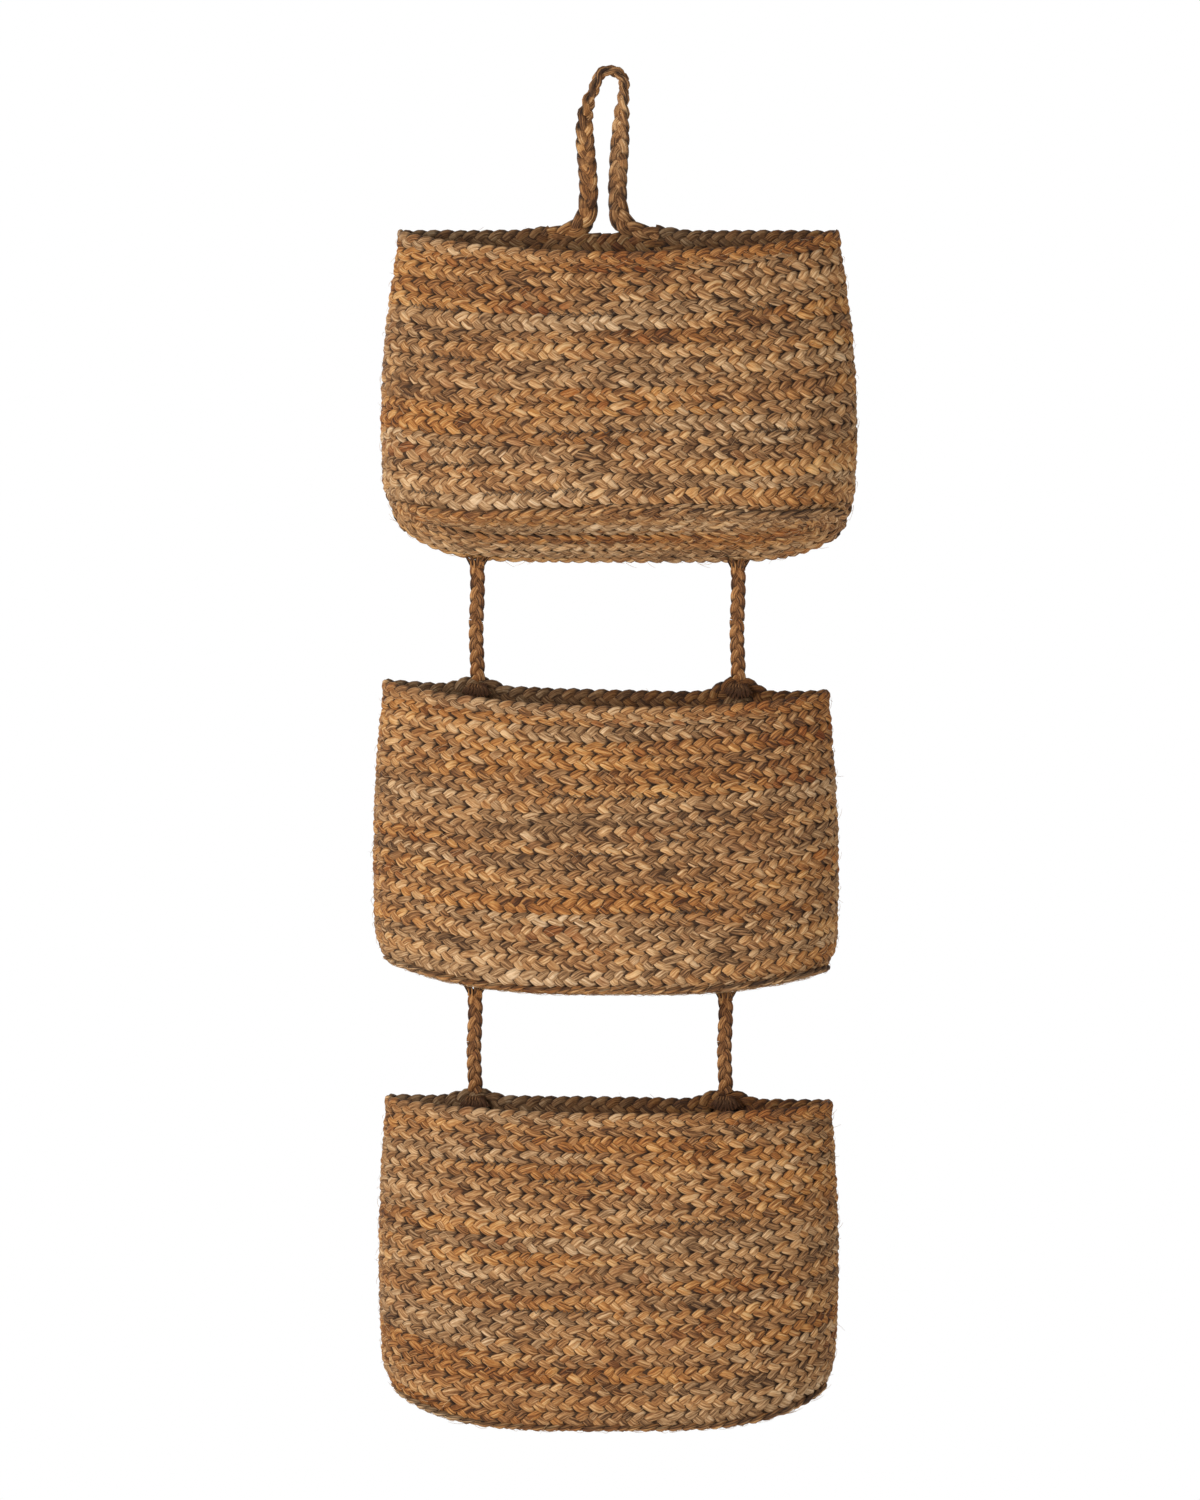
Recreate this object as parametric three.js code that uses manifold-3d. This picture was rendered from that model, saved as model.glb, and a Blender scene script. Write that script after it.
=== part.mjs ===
// A hanging wall basket of plaited jute: a loop, three flat pockets one below the other, and two link
// cords between each pocket and the next. Millimetres, +Z up. The front faces -Y and the wall is behind
// the object, towards +Y. The origin is where a hook bears inside the top of the loop.

import * as THREE from "three";
import Module from "manifold-3d";
import { mergeVertices } from "three/addons/utils/BufferGeometryUtils.js";

const wasm = await Module();
wasm.setup();

// The plait that every pocket is coiled from: its width is one course of the wall
const courseHeight = 12.9;
const plaitThickness = 6.6;
const grooveDepth = 1.3;
const flatShare = 0.5; // of a course's height, the flat of its face
const seamGap = 0.3; // between two pieces that are sewn together
const leastRow = 2.2; // the thinnest sliver of a course that is still made at an edge

// The hanging loop: a flat plait, on edge over the hook and turned face on down its legs
const strapWidth = 15.4;
const strapThickness = 6.6;
const eyeWidth = 13.6;
const loopDrop = 89; // from the hook down to where the legs bend on the pocket's rim
const legSpread = 26; // between the middles of the legs where the loop is widest
const footSpread = 21.2; // between the middles of the legs at their feet
const footShift = -5; // the feet hang a little to the left of the hook
const widestShare = 0.36; // of the loop's drop, where it is widest
const straightShare = 0.86; // of the loop's drop, from where the legs hang straight
const twistShare = 0.55; // of the loop's drop, where the legs have turned face on
const footDrop = 23; // from the bend at the feet down to the top pocket's back rim
const footRun = 26; // sideways, from between the feet to where they lie along the rim
const footBendShare = 0.62; // of the way to its corner, how far a foot runs straight before it turns
const footSeatShare = 0.66; // of the rounded foot's radius, how far its seat stops below the bend
const loopBays = 34;
const footBays = 6;
const arcShares = [-1, -0.5, 0, 0.5, 1]; // of a quarter turn, over the hook

// The link cords, round plaits with a rounded end in a sewn seat
const linkRadius = 5;
const seatShare = 0.6; // of the seat's radius, how far its lip lies from the middle of the rounded end
const headHeight = 3; // the sewn head of a link, under the floor that it hangs from
const headRadius = 8;
const neckRadius = 6.5;
const tailThickness = 4.6;
const archSpread = 24; // half the width of the arch that a rim makes over a link's tail
const archRise = 5; // the rim's rise at a link, where the rim is level
const linkSpan = 73; // between the middles of the upper links' rounded ends
const linkShares = [
  { name: "upper", left: 0.296, right: 0.284, span: 1, colour: 0x96713f },
  { name: "lower", left: 0.301, right: 0.256, span: 0.826, colour: 0x8f6a3b },
]; // left and right as shares of pocketWidth from the middle, and the span as a share of linkSpan

// The folds at the back corners of every pocket, and the superellipses of its mouth and its floor
const foldRadius = 10;
const mouthRoundness = 2;
const floorRoundness = 2.5;
const dipPower = 1.5; // how the rim falls from its corners to the middle of the front
const floorCourses = 3; // rings of plait from the middle of the floor to its edge
const floorHoleShare = 0.08; // the innermost ring of the floor, closed by a flat strip

// The pockets: three sizes that they have in common, and each one's form as shares of those.
// Tilt is the floor's front edge above its back edge, fall the rim's left end above its right one,
// and the climb is what the coil climbs in front, of the one course that it climbs in a turn.
const pocketWidth = 324;
const pocketDepth = 80;
const pocketHeight = 240;
const pocketShares = [
  {
    name: "top_basket",
    colours: { wall: 0xb78d5c, rim: 0xb3885a, floor: 0xa37a4b },
    ofWidth: { shift: 0.02, mouthWidth: 0.988, floorWidth: 1.043, bellyWidth: 0.04, lowestShift: 0.012 },
    ofDepth: { mouthDepth: 0.675, floorDepth: 1, bellyDepth: 0.05 },
    ofHeight: { height: 1.0125, frontDip: 0.08, rimFall: 0, rimSag: 0, rimLift: 0.0375 },
    ofFloor: { floorTilt: 0.16, cornerRise: 0.14 },
    climb: 0.8,
    cornerPower: 6,
  },
  {
    name: "middle_basket",
    colours: { wall: 0xb99261, rim: 0xb58c5c, floor: 0xa77f50 },
    ofWidth: { shift: -0.009, mouthWidth: 0.997, floorWidth: 1.022, bellyWidth: 0.025, lowestShift: 0.03 },
    ofDepth: { mouthDepth: 0.7, floorDepth: 1, bellyDepth: 0.06 },
    ofHeight: { height: 0.9375, frontDip: 0.05, rimFall: 0.033, rimSag: 0.015, rimLift: 0 },
    ofFloor: { floorTilt: 0.02, cornerRise: 0.096 },
    climb: 0.8,
    cornerPower: 3,
  },
  {
    name: "bottom_basket",
    colours: { wall: 0xbd9666, rim: 0xba9263, floor: 0xac8555 },
    ofWidth: { shift: -0.003, mouthWidth: 0.997, floorWidth: 1, bellyWidth: 0.025, lowestShift: 0 },
    ofDepth: { mouthDepth: 0.725, floorDepth: 1, bellyDepth: 0.075 },
    ofHeight: { height: 0.98, frontDip: 0.033, rimFall: 0.017, rimSag: 0, rimLift: 0 },
    ofFloor: { floorTilt: 0.008, cornerRise: 0.125 },
    climb: 0.4,
    cornerPower: 4,
  },
];
const frontBays = 12; // stretches of the wall's outline between its upright columns of points
const foldBays = 3;
const innerBays = 8;
const backShares = [0, 0.13, 0.3, 0.42, 0.58, 0.7, 0.87]; // of the back, from right to left
const liftSpread = 70; // half the width of the stretch of back rim that the loop pulls up
const liftShares = [1, 0.68, footRun / liftSpread, -footRun / liftSpread, -0.68, -1];
const archShares = [1, 0.6, 0.3, 0, -0.3, -0.6, -1];
const tailShares = archShares.slice(1, -1);
const courseRows = [
  [(1 + flatShare) / 2, 0],
  [(1 - flatShare) / 2, 0],
  [0, grooveDepth],
]; // down from a course's top as a share of its height, and inwards from its face
const roundShares = [0.5, 0.87, 0.98]; // of a rounded end's radius, the rings that round it
const linkSides = 14;
const capBays = 4;

const wallPlane = strapWidth / 2; // the wall that the whole object hangs against
const linkDepth = wallPlane - linkRadius;
const seatRadius = linkRadius + seamGap;
const seatLip = seatRadius * seatShare;
const quarter = Math.PI / 2;
const up = new THREE.Vector3(0, 0, 1);
const back = new THREE.Vector3(0, 1, 0);
const { lerp, clamp, smoothstep } = THREE.MathUtils;

function scaled(shares, size) {
  return Object.fromEntries(Object.entries(shares).map(([name, share]) => [name, share * size]));
}

const pockets = pocketShares.map((shares) => ({
  ...shares,
  ...scaled(shares.ofWidth, pocketWidth),
  ...scaled(shares.ofDepth, pocketDepth),
  ...scaled(shares.ofHeight, pocketHeight),
  ...scaled(shares.ofFloor, pocketHeight),
}));
const links = linkShares.map(({ name, left, right, span, colour }) => ({
  name,
  colour,
  places: { left: -left * pocketWidth, right: right * pocketWidth },
  span: span * linkSpan,
}));

// Closed bodies from lists of points and faces

class Skin {
  points = [];
  faces = [];

  add({ x, y, z }) {
    return this.points.push(x, y, z) / 3 - 1;
  }

  quad(a, b, c, d) {
    this.faces.push(a, b, c, a, c, d);
  }

  // The strip between two upright columns, where a course may run out at an edge between the two
  strip(near, far) {
    let i = 0;
    let j = 0;
    while (i < near.length - 1) {
      const step = Math.sign(near[i + 1].key - far[j + 1].key || 0);
      if (step < 0) {
        this.faces.push(near[i].index, far[j].index, near[i + 1].index);
        i += 1;
      } else if (step > 0) {
        this.faces.push(near[i].index, far[j].index, far[j + 1].index);
        j += 1;
      } else {
        this.quad(near[i].index, far[j].index, far[j + 1].index, near[i + 1].index);
        i += 1;
        j += 1;
      }
    }
  }

  // The band between two rings of points, each closed on itself
  band(ring, next) {
    ring.forEach((point, k) => {
      const other = (k + 1) % ring.length;
      this.quad(point, ring[other], next[other], next[k]);
    });
  }

  // The face between two lines of points that run the same way along X and share their ends
  close(near, far) {
    const x = (index) => this.points[3 * index];
    let i = 0;
    let j = 0;
    while (i < near.length - 2 || j < far.length - 2) {
      const nearFirst = j === far.length - 2 || (i < near.length - 2 && x(near[i + 1]) < x(far[j + 1]));
      const next = nearFirst ? near[i + 1] : far[j + 1];
      if (near[i] !== far[j]) this.faces.push(near[i], next, far[j]);
      if (nearFirst) i += 1;
      else j += 1;
    }
    this.faces.push(near[i], near[i + 1], far[j]);
  }

  geometry() {
    const made = new THREE.BufferGeometry();
    made.setAttribute("position", new THREE.Float32BufferAttribute(this.points, 3));
    made.setIndex(this.faces);
    return made;
  }
}

function solidOf(geometry) {
  const bare = geometry.clone();
  bare.deleteAttribute("normal");
  bare.deleteAttribute("uv");
  const merged = mergeVertices(bare);
  const vertProperties = merged.attributes.position.array;
  const triVerts = new Uint32Array(merged.index.array);
  return new wasm.Manifold(new wasm.Mesh({ numProp: 3, vertProperties, triVerts }));
}

function geometryOf(solid) {
  const mesh = solid.getMesh();
  const made = new THREE.BufferGeometry();
  made.setAttribute("position", new THREE.Float32BufferAttribute(mesh.vertProperties, 3));
  made.setIndex([...mesh.triVerts]);
  return made;
}

function nodeOf(name, colour, geometry) {
  const faceted = geometry.toNonIndexed();
  faceted.computeVertexNormals();
  const material = new THREE.MeshStandardMaterial({ color: colour, roughness: 0.9, metalness: 0 });
  const mesh = new THREE.Mesh(faceted, material);
  mesh.name = name;
  return mesh;
}

// A course of plait in section: flat faces, and edges drawn in where the next course is sewn on
function courseSection(width, thickness) {
  const half = width / 2;
  const face = half * flatShare;
  const drawn = Math.min(grooveDepth, thickness / 4);
  return [
    [thickness / 2 - drawn, half],
    [thickness / 2, face],
    [thickness / 2, -face],
    [thickness / 2 - drawn, -half],
    [drawn - thickness / 2, -half],
    [-thickness / 2, -face],
    [-thickness / 2, face],
    [drawn - thickness / 2, half],
  ];
}

// Plait along a path. Each station has its centre, the directions of its thickness and its width, and sizes.
function plaitAlong(stations, closed) {
  const skin = new Skin();
  const rings = stations.map(({ centre, outward, across, width, thickness }) =>
    courseSection(width, thickness).map(([out, side]) =>
      skin.add(centre.clone().addScaledVector(outward, out).addScaledVector(across, side)),
    ),
  );
  rings.slice(1).forEach((ring, i) => skin.band(rings[i], ring));
  const first = rings[0];
  const last = rings[rings.length - 1];
  if (closed) {
    skin.band(last, first);
  } else {
    for (let k = 1; k < first.length - 1; k += 1) {
      skin.faces.push(first[0], first[k + 1], first[k]);
      skin.faces.push(last[0], last[k], last[k + 1]);
    }
  }
  return skin.geometry();
}

// The pockets' outline, seen from above. A place is a side of the pocket and how far along it, from 0 to 1:
// the front from left to right, the fold on the right, the back from right to left, the fold on the left.

function sizesAt(pocket, share) {
  const belly = 4 * share * (1 - share);
  return {
    half: (lerp(pocket.floorWidth, pocket.mouthWidth, share) + pocket.bellyWidth * belly) / 2,
    depth: lerp(pocket.floorDepth, pocket.mouthDepth, share) + pocket.bellyDepth * belly,
    roundness: lerp(floorRoundness, mouthRoundness, share),
  };
}

function outline(pocket, place, share) {
  const { half, depth, roundness } = sizesAt(pocket, share);
  const middle = wallPlane - foldRadius;
  const straight = half - foldRadius;
  if (place.side === "front") {
    const angle = Math.PI * place.turn;
    const bow = depth - foldRadius;
    const x = -Math.sign(Math.cos(angle)) * Math.abs(Math.cos(angle)) ** (2 / roundness);
    const y = -(Math.sin(angle) ** (2 / roundness));
    const slopeX = (Math.sign(x) * Math.abs(x) ** (roundness - 1)) / half;
    const slopeY = -(Math.abs(y) ** (roundness - 1)) / bow;
    const steep = Math.hypot(slopeX, slopeY);
    return {
      x: pocket.shift + x * half,
      y: middle + y * bow,
      outward: new THREE.Vector3(slopeX / steep, slopeY / steep, 0),
    };
  }
  if (place.side === "back") {
    const x = pocket.shift + lerp(straight, -straight, place.turn);
    return { x, y: wallPlane, outward: back };
  }
  const onRight = place.side === "right";
  const angle = (onRight ? 0 : quarter) + place.turn * quarter;
  const outward = new THREE.Vector3(Math.cos(angle), Math.sin(angle), 0);
  return {
    x: pocket.shift + (onRight ? straight : -straight) + foldRadius * outward.x,
    y: middle + foldRadius * outward.y,
    outward,
  };
}

function placeOnBack(pocket, x) {
  const straight = sizesAt(pocket, 1).half - foldRadius;
  return { side: "back", turn: (straight - (x - pocket.shift)) / (2 * straight) };
}

function placesOn(side, bays) {
  return Array.from({ length: bays }, (_, i) => ({ side, turn: i / bays }));
}

function placesAround(pocket) {
  const lifted = liftShares.map((share) => placeOnBack(pocket, footShift + liftSpread * share));
  const level = backShares.slice(1).map((share) => ({ side: "back", turn: share }));
  return [
    ...placesOn("front", frontBays),
    ...placesOn("right", foldBays),
    ...placesOn("back", 1),
    ...(pocket.rimLift > 0 ? lifted : level),
    ...placesOn("left", foldBays),
  ];
}

// How far the coil has climbed at a place, as a share of a course
function climbAt(pocket, place) {
  if (place.side === "front") return pocket.climb * place.turn;
  if (place.side === "right") return pocket.climb;
  if (place.side === "back") return lerp(pocket.climb, 1, place.turn);
  return 1;
}

// Heights, from the top of the back rim, which follows from what the pocket hangs on

function fallAt(pocket, x) {
  const aside = (x - pocket.shift) / pocket.mouthWidth;
  return pocket.rimFall * aside + pocket.rimSag * (1 - 4 * aside * aside);
}

function rimHeight(pocket, place) {
  const { x, y } = outline(pocket, place, 1);
  const forward = clamp((wallPlane - foldRadius - y) / (pocket.mouthDepth - foldRadius), 0, 1);
  const away = clamp(Math.abs(x - footShift) / liftSpread, 0, 1);
  const pulled = place.side === "back" ? (1 + Math.cos(Math.PI * away)) / 2 : 0;
  const dip = pocket.frontDip * forward ** dipPower;
  return pocket.rimTop - dip - fallAt(pocket, x) + pocket.rimLift * pulled;
}

function floorHeight(pocket, x, y) {
  const aside = Math.abs(x - pocket.shift - pocket.lowestShift) / (pocket.floorWidth / 2);
  const forward = (wallPlane - y) / pocket.floorDepth;
  const rise = pocket.cornerRise * aside ** pocket.cornerPower + pocket.floorTilt * forward;
  return pocket.rimTop - pocket.height + plaitThickness + rise;
}

// The fold in front, where the wall ends on the floor's front edge, at an x
function foldHeight(pocket, x) {
  const aside = clamp(Math.abs(x - pocket.shift) / (pocket.floorWidth / 2), 0, 1);
  const bow = (pocket.floorDepth - foldRadius) * (1 - aside ** floorRoundness) ** (1 / floorRoundness);
  return floorHeight(pocket, x, wallPlane - foldRadius - bow);
}

function archHeight(pocket, x) {
  return pocket.arches.reduce((height, arch) => {
    const away = clamp(Math.abs(x - arch.x) / archSpread, 0, 1);
    return height + (arch.rise * (1 + Math.cos(Math.PI * away))) / 2;
  }, 0);
}

// Each pocket hangs from the one above it, by two links whose rounded ends bend on one level line
Object.assign(pockets[0], { rimTop: -loopDrop - footDrop, arches: [] });
links.forEach((link, level) => {
  const [above, below] = pockets.slice(level);
  const underside = Object.values(link.places).map(
    (x) => floorHeight(above, x, linkDepth) - plaitThickness,
  );
  link.top = Math.min(...underside) - headHeight - seatLip;
  link.bottom = link.top - link.span;
  below.rimTop = link.bottom - seatLip - archRise;
  below.arches = Object.values(link.places).map((x) => ({ x, rise: archRise + fallAt(below, x) }));
});

// The wall: one plait in a climbing coil outside, whose courses run out at both edges, smooth inside.
// As many courses lie between the rim and the fold everywhere, and more of them below it at the back.

function coursesIn(pocket) {
  const { x } = outline(pocket, { side: "front", turn: 1 / 2 }, 0);
  const top = rimHeight(pocket, { side: "front", turn: 1 / 2 }) - courseHeight;
  return Math.round((top - foldHeight(pocket, x)) / courseHeight);
}

function coiledRows(pocket, place, bottom, top) {
  const rows = [];
  const climb = climbAt(pocket, place);
  const courses = coursesIn(pocket);
  const fold = Math.max(foldHeight(pocket, outline(pocket, place, 0).x), bottom);
  const pitch = (top - fold) / courses;
  const most = courses + Math.ceil((fold - bottom) / courseHeight) + 1;
  for (let course = most; course >= 0; course -= 1) {
    for (const [share, inset] of courseRows) {
      const down = course + share - climb;
      const z = top - Math.min(down, courses) * pitch - Math.max(down - courses, 0) * courseHeight;
      rows.push({ key: -course - share, z, inset });
    }
  }
  return rows;
}

function levelRows(pocket, place, bottom, top) {
  return Array.from({ length: innerBays - 1 }, (_, i) => ({
    key: i,
    z: lerp(bottom, top, (i + 1) / innerBays),
    inset: plaitThickness,
  }));
}

// The wall's points from its foot to its head, and one turn on, when the coil has climbed by a course
function wallColumns(skin, pocket, edgeInset, rowsAt, courseStep) {
  const columns = placesAround(pocket).map((place) => {
    const at = (share, inset) => {
      const { x, y, outward } = outline(pocket, place, share);
      return { x: x - outward.x * inset, y: y - outward.y * inset };
    };
    const foot = at(0, edgeInset);
    const bottom = floorHeight(pocket, foot.x, foot.y) + seamGap;
    const top = rimHeight(pocket, place) - courseHeight - seamGap;
    const rows = rowsAt(pocket, place, bottom, top).filter(
      ({ z }) => z > bottom + leastRow && z < top - leastRow,
    );
    return [
      { key: -Infinity, z: bottom, inset: edgeInset },
      ...rows,
      { key: Infinity, z: top, inset: edgeInset },
    ].map(({ key, z, inset }) => {
      const point = at((z - bottom) / (top - bottom), inset);
      return { key, index: skin.add({ ...point, z }) };
    });
  });
  const turnOn = columns[0].map(({ key, index }) => ({ key: key - courseStep, index }));
  return [...columns, turnOn];
}

function wallOf(pocket) {
  const skin = new Skin();
  const outer = wallColumns(skin, pocket, grooveDepth, coiledRows, 1);
  const inner = wallColumns(skin, pocket, plaitThickness - grooveDepth, levelRows, 0);
  for (let i = 0; i < outer.length - 1; i += 1) {
    skin.strip(outer[i], outer[i + 1]);
    skin.strip(inner[i + 1], inner[i]);
    const round = [outer[i], outer[i + 1], inner[i + 1], inner[i]];
    skin.quad(...round.map((column) => column[column.length - 1].index));
    skin.quad(...round.reverse().map((column) => column[0].index));
  }
  return skin.geometry();
}

// The floor: an oval of plait, wound round a line along its middle, tilted and raised at its ends
function floorOf(pocket) {
  const skin = new Skin();
  const spineHalf = (pocket.floorWidth - pocket.floorDepth) / 2;
  const spineY = wallPlane - pocket.floorDepth / 2;
  const shareOf = (course) => lerp(floorHoleShare, 1, course / floorCourses);
  const ring = (course, below, drawn) =>
    placesAround(pocket).map((place) => {
      const edge = outline(pocket, place, 0);
      const spineX = pocket.shift + clamp(edge.x - pocket.shift, -spineHalf, spineHalf);
      const x = lerp(spineX, edge.x, shareOf(course));
      const y = lerp(spineY, edge.y, shareOf(course));
      const top = floorHeight(pocket, x, y);
      return skin.add({ x, y, z: below ? top - plaitThickness + drawn : top - drawn });
    });
  const rings = [];
  for (let course = 0; course < floorCourses; course += 1) {
    rings.push(ring(course, true, grooveDepth));
    rings.push(ring(course + (1 - flatShare) / 2, true, 0));
    rings.push(ring(course + (1 + flatShare) / 2, true, 0));
  }
  rings.push(ring(floorCourses, true, grooveDepth));
  for (let course = floorCourses; course > 0; course -= 1) {
    rings.push(ring(course, false, grooveDepth));
    rings.push(ring(course - 1 / 2, false, 0));
  }
  rings.push(ring(0, false, grooveDepth));
  rings.slice(1).forEach((next, i) => skin.band(rings[i], next));
  const strip = rings[rings.length - 1];
  const turned = frontBays + foldBays;
  skin.close(strip.slice(0, turned + 1), [strip[0], ...strip.slice(turned).reverse()]);
  const under = rings[0];
  skin.close([under[0], ...under.slice(turned).reverse()], under.slice(0, turned + 1));
  return skin.geometry();
}

// The rim: one course of plait laid on the wall

function rimStation(pocket, place) {
  const { x, y, outward } = outline(pocket, place, 1);
  const arched = place.side === "back" ? archHeight(pocket, x) : 0;
  const z = rimHeight(pocket, place) - courseHeight / 2 + arched;
  const centre = new THREE.Vector3(x, y, z).addScaledVector(outward, -plaitThickness / 2);
  return { centre, outward, across: up, width: courseHeight, thickness: plaitThickness };
}

// A pocket that hangs from links has a closed rim, with an arch and a seat at each link
function archedRim(pocket, link) {
  const crossings = pocket.arches
    .flatMap((arch) => archShares.map((share) => arch.x + archSpread * share))
    .sort((a, b) => b - a);
  const places = [
    ...placesOn("front", frontBays),
    ...placesOn("right", foldBays),
    ...placesOn("back", 1),
    ...crossings.map((x) => placeOnBack(pocket, x)),
    ...placesOn("left", foldBays),
  ];
  const rim = solidOf(plaitAlong(places.map((place) => rimStation(pocket, place)), true));
  const seats = Object.values(link.places).map((x) => seatAt(x, link.bottom));
  return geometryOf(seats.reduce((left, seat) => left.subtract(seat), rim));
}

// The top pocket's rim leaves its back as two feet, which turn up to the legs of the loop
function footedRim(pocket) {
  const foot = (side) => {
    const start = rimStation(pocket, placeOnBack(pocket, footShift + side * footRun)).centre;
    const end = start.clone().setX(footShift + (side * footSpread) / 2);
    const corner = end.clone();
    end.setZ(-loopDrop - (strapThickness / 2) * footSeatShare);
    const curve = new THREE.CubicBezierCurve3(
      start,
      start.clone().lerp(corner, footBendShare),
      end.clone().lerp(corner, footBendShare),
      end,
    );
    return Array.from({ length: footBays }, (_, i) => {
      const share = (i + 1) / footBays;
      return {
        centre: curve.getPoint(share),
        outward: back,
        across: back.clone().cross(curve.getTangent(share)).multiplyScalar(side),
        width: lerp(courseHeight, strapWidth, share),
        thickness: plaitThickness,
      };
    });
  };
  const beside = (side) => placeOnBack(pocket, footShift + side * footRun);
  const outside = liftShares.filter((share) => Math.abs(share) * liftSpread > footRun);
  const lifted = (side) =>
    outside
      .filter((share) => share * side > 0)
      .map((share) => placeOnBack(pocket, footShift + liftSpread * share));
  const places = [
    beside(-1),
    ...lifted(-1),
    ...placesOn("left", foldBays),
    ...placesOn("front", frontBays),
    ...placesOn("right", foldBays),
    ...placesOn("back", 1),
    ...lifted(1),
    beside(1),
  ];
  const run = places.map((place) => rimStation(pocket, place));
  const rim = solidOf(plaitAlong([...foot(-1).reverse(), ...run, ...foot(1)], false));
  const bendRadius = strapThickness / 2 + seamGap;
  const bend = new THREE.CylinderGeometry(bendRadius, bendRadius, 2 * footRun, 2 * linkSides);
  bend.rotateZ(quarter);
  bend.translate(footShift, wallPlane - strapThickness / 2, -loopDrop);
  return geometryOf(rim.subtract(solidOf(bend)));
}

// The loop: up one leg, over the hook and down the other, with a rounded foot at each end
function hangingLoop() {
  const radius = (eyeWidth + strapThickness) / 2;
  const arc = arcShares.map((share) => {
    const angle = share * quarter;
    const z = radius * Math.cos(angle) - eyeWidth / 2;
    return new THREE.Vector3(radius * Math.sin(angle), 0, z);
  });
  const leg = (side, spread, z) => new THREE.Vector3(footShift + (side * spread) / 2, 0, z);
  const path = new THREE.CatmullRomCurve3([
    leg(-1, footSpread, -loopDrop),
    leg(-1, footSpread, -loopDrop * straightShare),
    leg(-1, legSpread, -loopDrop * widestShare),
    ...arc,
    leg(1, legSpread, -loopDrop * widestShare),
    leg(1, footSpread, -loopDrop * straightShare),
    leg(1, footSpread, -loopDrop),
  ]);
  const stations = Array.from({ length: loopBays + 1 }, (_, i) => {
    const centre = path.getPointAt(i / loopBays);
    const along = path.getTangentAt(i / loopBays);
    const twist = quarter * smoothstep(-centre.z, 0, loopDrop * twistShare);
    const outward = along.clone().cross(back).multiplyScalar(Math.cos(twist));
    outward.addScaledVector(back, Math.sin(twist));
    const reach = (strapWidth * Math.cos(twist) + strapThickness * Math.sin(twist)) / 2;
    centre.setY(wallPlane - reach);
    const across = outward.clone().cross(along);
    return { centre, outward, across, width: strapWidth, thickness: strapThickness };
  });
  const rounded = (station) =>
    roundShares.map((share) => ({
      ...station,
      centre: station.centre.clone().addScaledVector(up, (-share * strapThickness) / 2),
      thickness: strapThickness * Math.sqrt(1 - share * share),
    }));
  const left = rounded(stations[0]).reverse();
  return plaitAlong([...left, ...stations, ...rounded(stations[loopBays])], false);
}

// The links and what sews them in

function linkCord(link, x) {
  const cord = new THREE.CapsuleGeometry(linkRadius, link.span, capBays, linkSides);
  cord.rotateX(quarter);
  cord.translate(x, linkDepth, (link.top + link.bottom) / 2);
  return geometryOf(solidOf(cord));
}

function seatAt(x, z) {
  const seat = new THREE.SphereGeometry(seatRadius, linkSides, linkSides);
  seat.translate(x, linkDepth, z);
  return solidOf(seat);
}

// A head fits against the underside of the floor, stops short of the wall and has a seat for the link
function linkHead(link, x, floor) {
  const height = headHeight + 2 * plaitThickness;
  const profile = [
    [0, 0],
    [neckRadius, 0],
    [headRadius, headHeight],
    [headRadius, height],
    [0, height],
  ];
  const blank = new THREE.LatheGeometry(
    profile.map(([radius, z]) => new THREE.Vector2(radius, z)),
    linkSides,
  );
  blank.rotateX(quarter);
  blank.translate(x, linkDepth, link.top + seatLip);
  const room = new THREE.BoxGeometry(2 * height, 2 * height, 2 * height);
  room.translate(x, wallPlane - seamGap - height, link.top + seatLip + height);
  let head = solidOf(blank).intersect(solidOf(room)).subtract(seatAt(x, link.top));
  for (let lifted = -seamGap; lifted < height; lifted += plaitThickness / 2) {
    head = head.subtract(floor.translate(0, 0, lifted));
  }
  return geometryOf(head);
}

// A tail fills the arch between the wall and the rim
function linkTail(pocket, arch) {
  const edge = tailShares.map((share) => {
    const x = arch.x + archSpread * share;
    const low = rimHeight(pocket, placeOnBack(pocket, x)) - courseHeight;
    return { x, low, high: low + archHeight(pocket, x) - seamGap };
  });
  const ends = [edge[edge.length - 1], edge[0]];
  const shape = new THREE.Shape([
    ...ends.map(({ x, low }) => new THREE.Vector2(x, low)),
    ...edge.map(({ x, high }) => new THREE.Vector2(x, high)),
  ]);
  const tail = new THREE.ExtrudeGeometry(shape, { depth: tailThickness, bevelEnabled: false });
  tail.rotateX(quarter);
  tail.translate(0, wallPlane - (plaitThickness - tailThickness) / 2, 0);
  return geometryOf(solidOf(tail));
}

const basket = new THREE.Group();
basket.add(nodeOf("hanging_loop", 0xa67d4c, hangingLoop()));

pockets.forEach((pocket, level) => {
  const floor = floorOf(pocket);
  const above = links[level - 1];
  const below = links[level];
  const rim = above ? archedRim(pocket, above) : footedRim(pocket);
  basket.add(
    nodeOf(`${pocket.name}_base`, pocket.colours.floor, floor),
    nodeOf(`${pocket.name}_wall`, pocket.colours.wall, wallOf(pocket)),
    nodeOf(`${pocket.name}_rim`, pocket.colours.rim, rim),
  );
  if (above) {
    Object.keys(above.places).forEach((side, i) => {
      const tail = linkTail(pocket, pocket.arches[i]);
      basket.add(nodeOf(`${above.name}_tail_${side}`, above.colour, tail));
    });
  }
  if (below) {
    const solid = solidOf(floor);
    for (const [side, x] of Object.entries(below.places)) {
      basket.add(
        nodeOf(`${below.name}_head_${side}`, below.colour, linkHead(below, x, solid)),
        nodeOf(`${below.name}_link_${side}`, below.colour, linkCord(below, x)),
      );
    }
  }
});

export default basket;
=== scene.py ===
import math
import random

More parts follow.
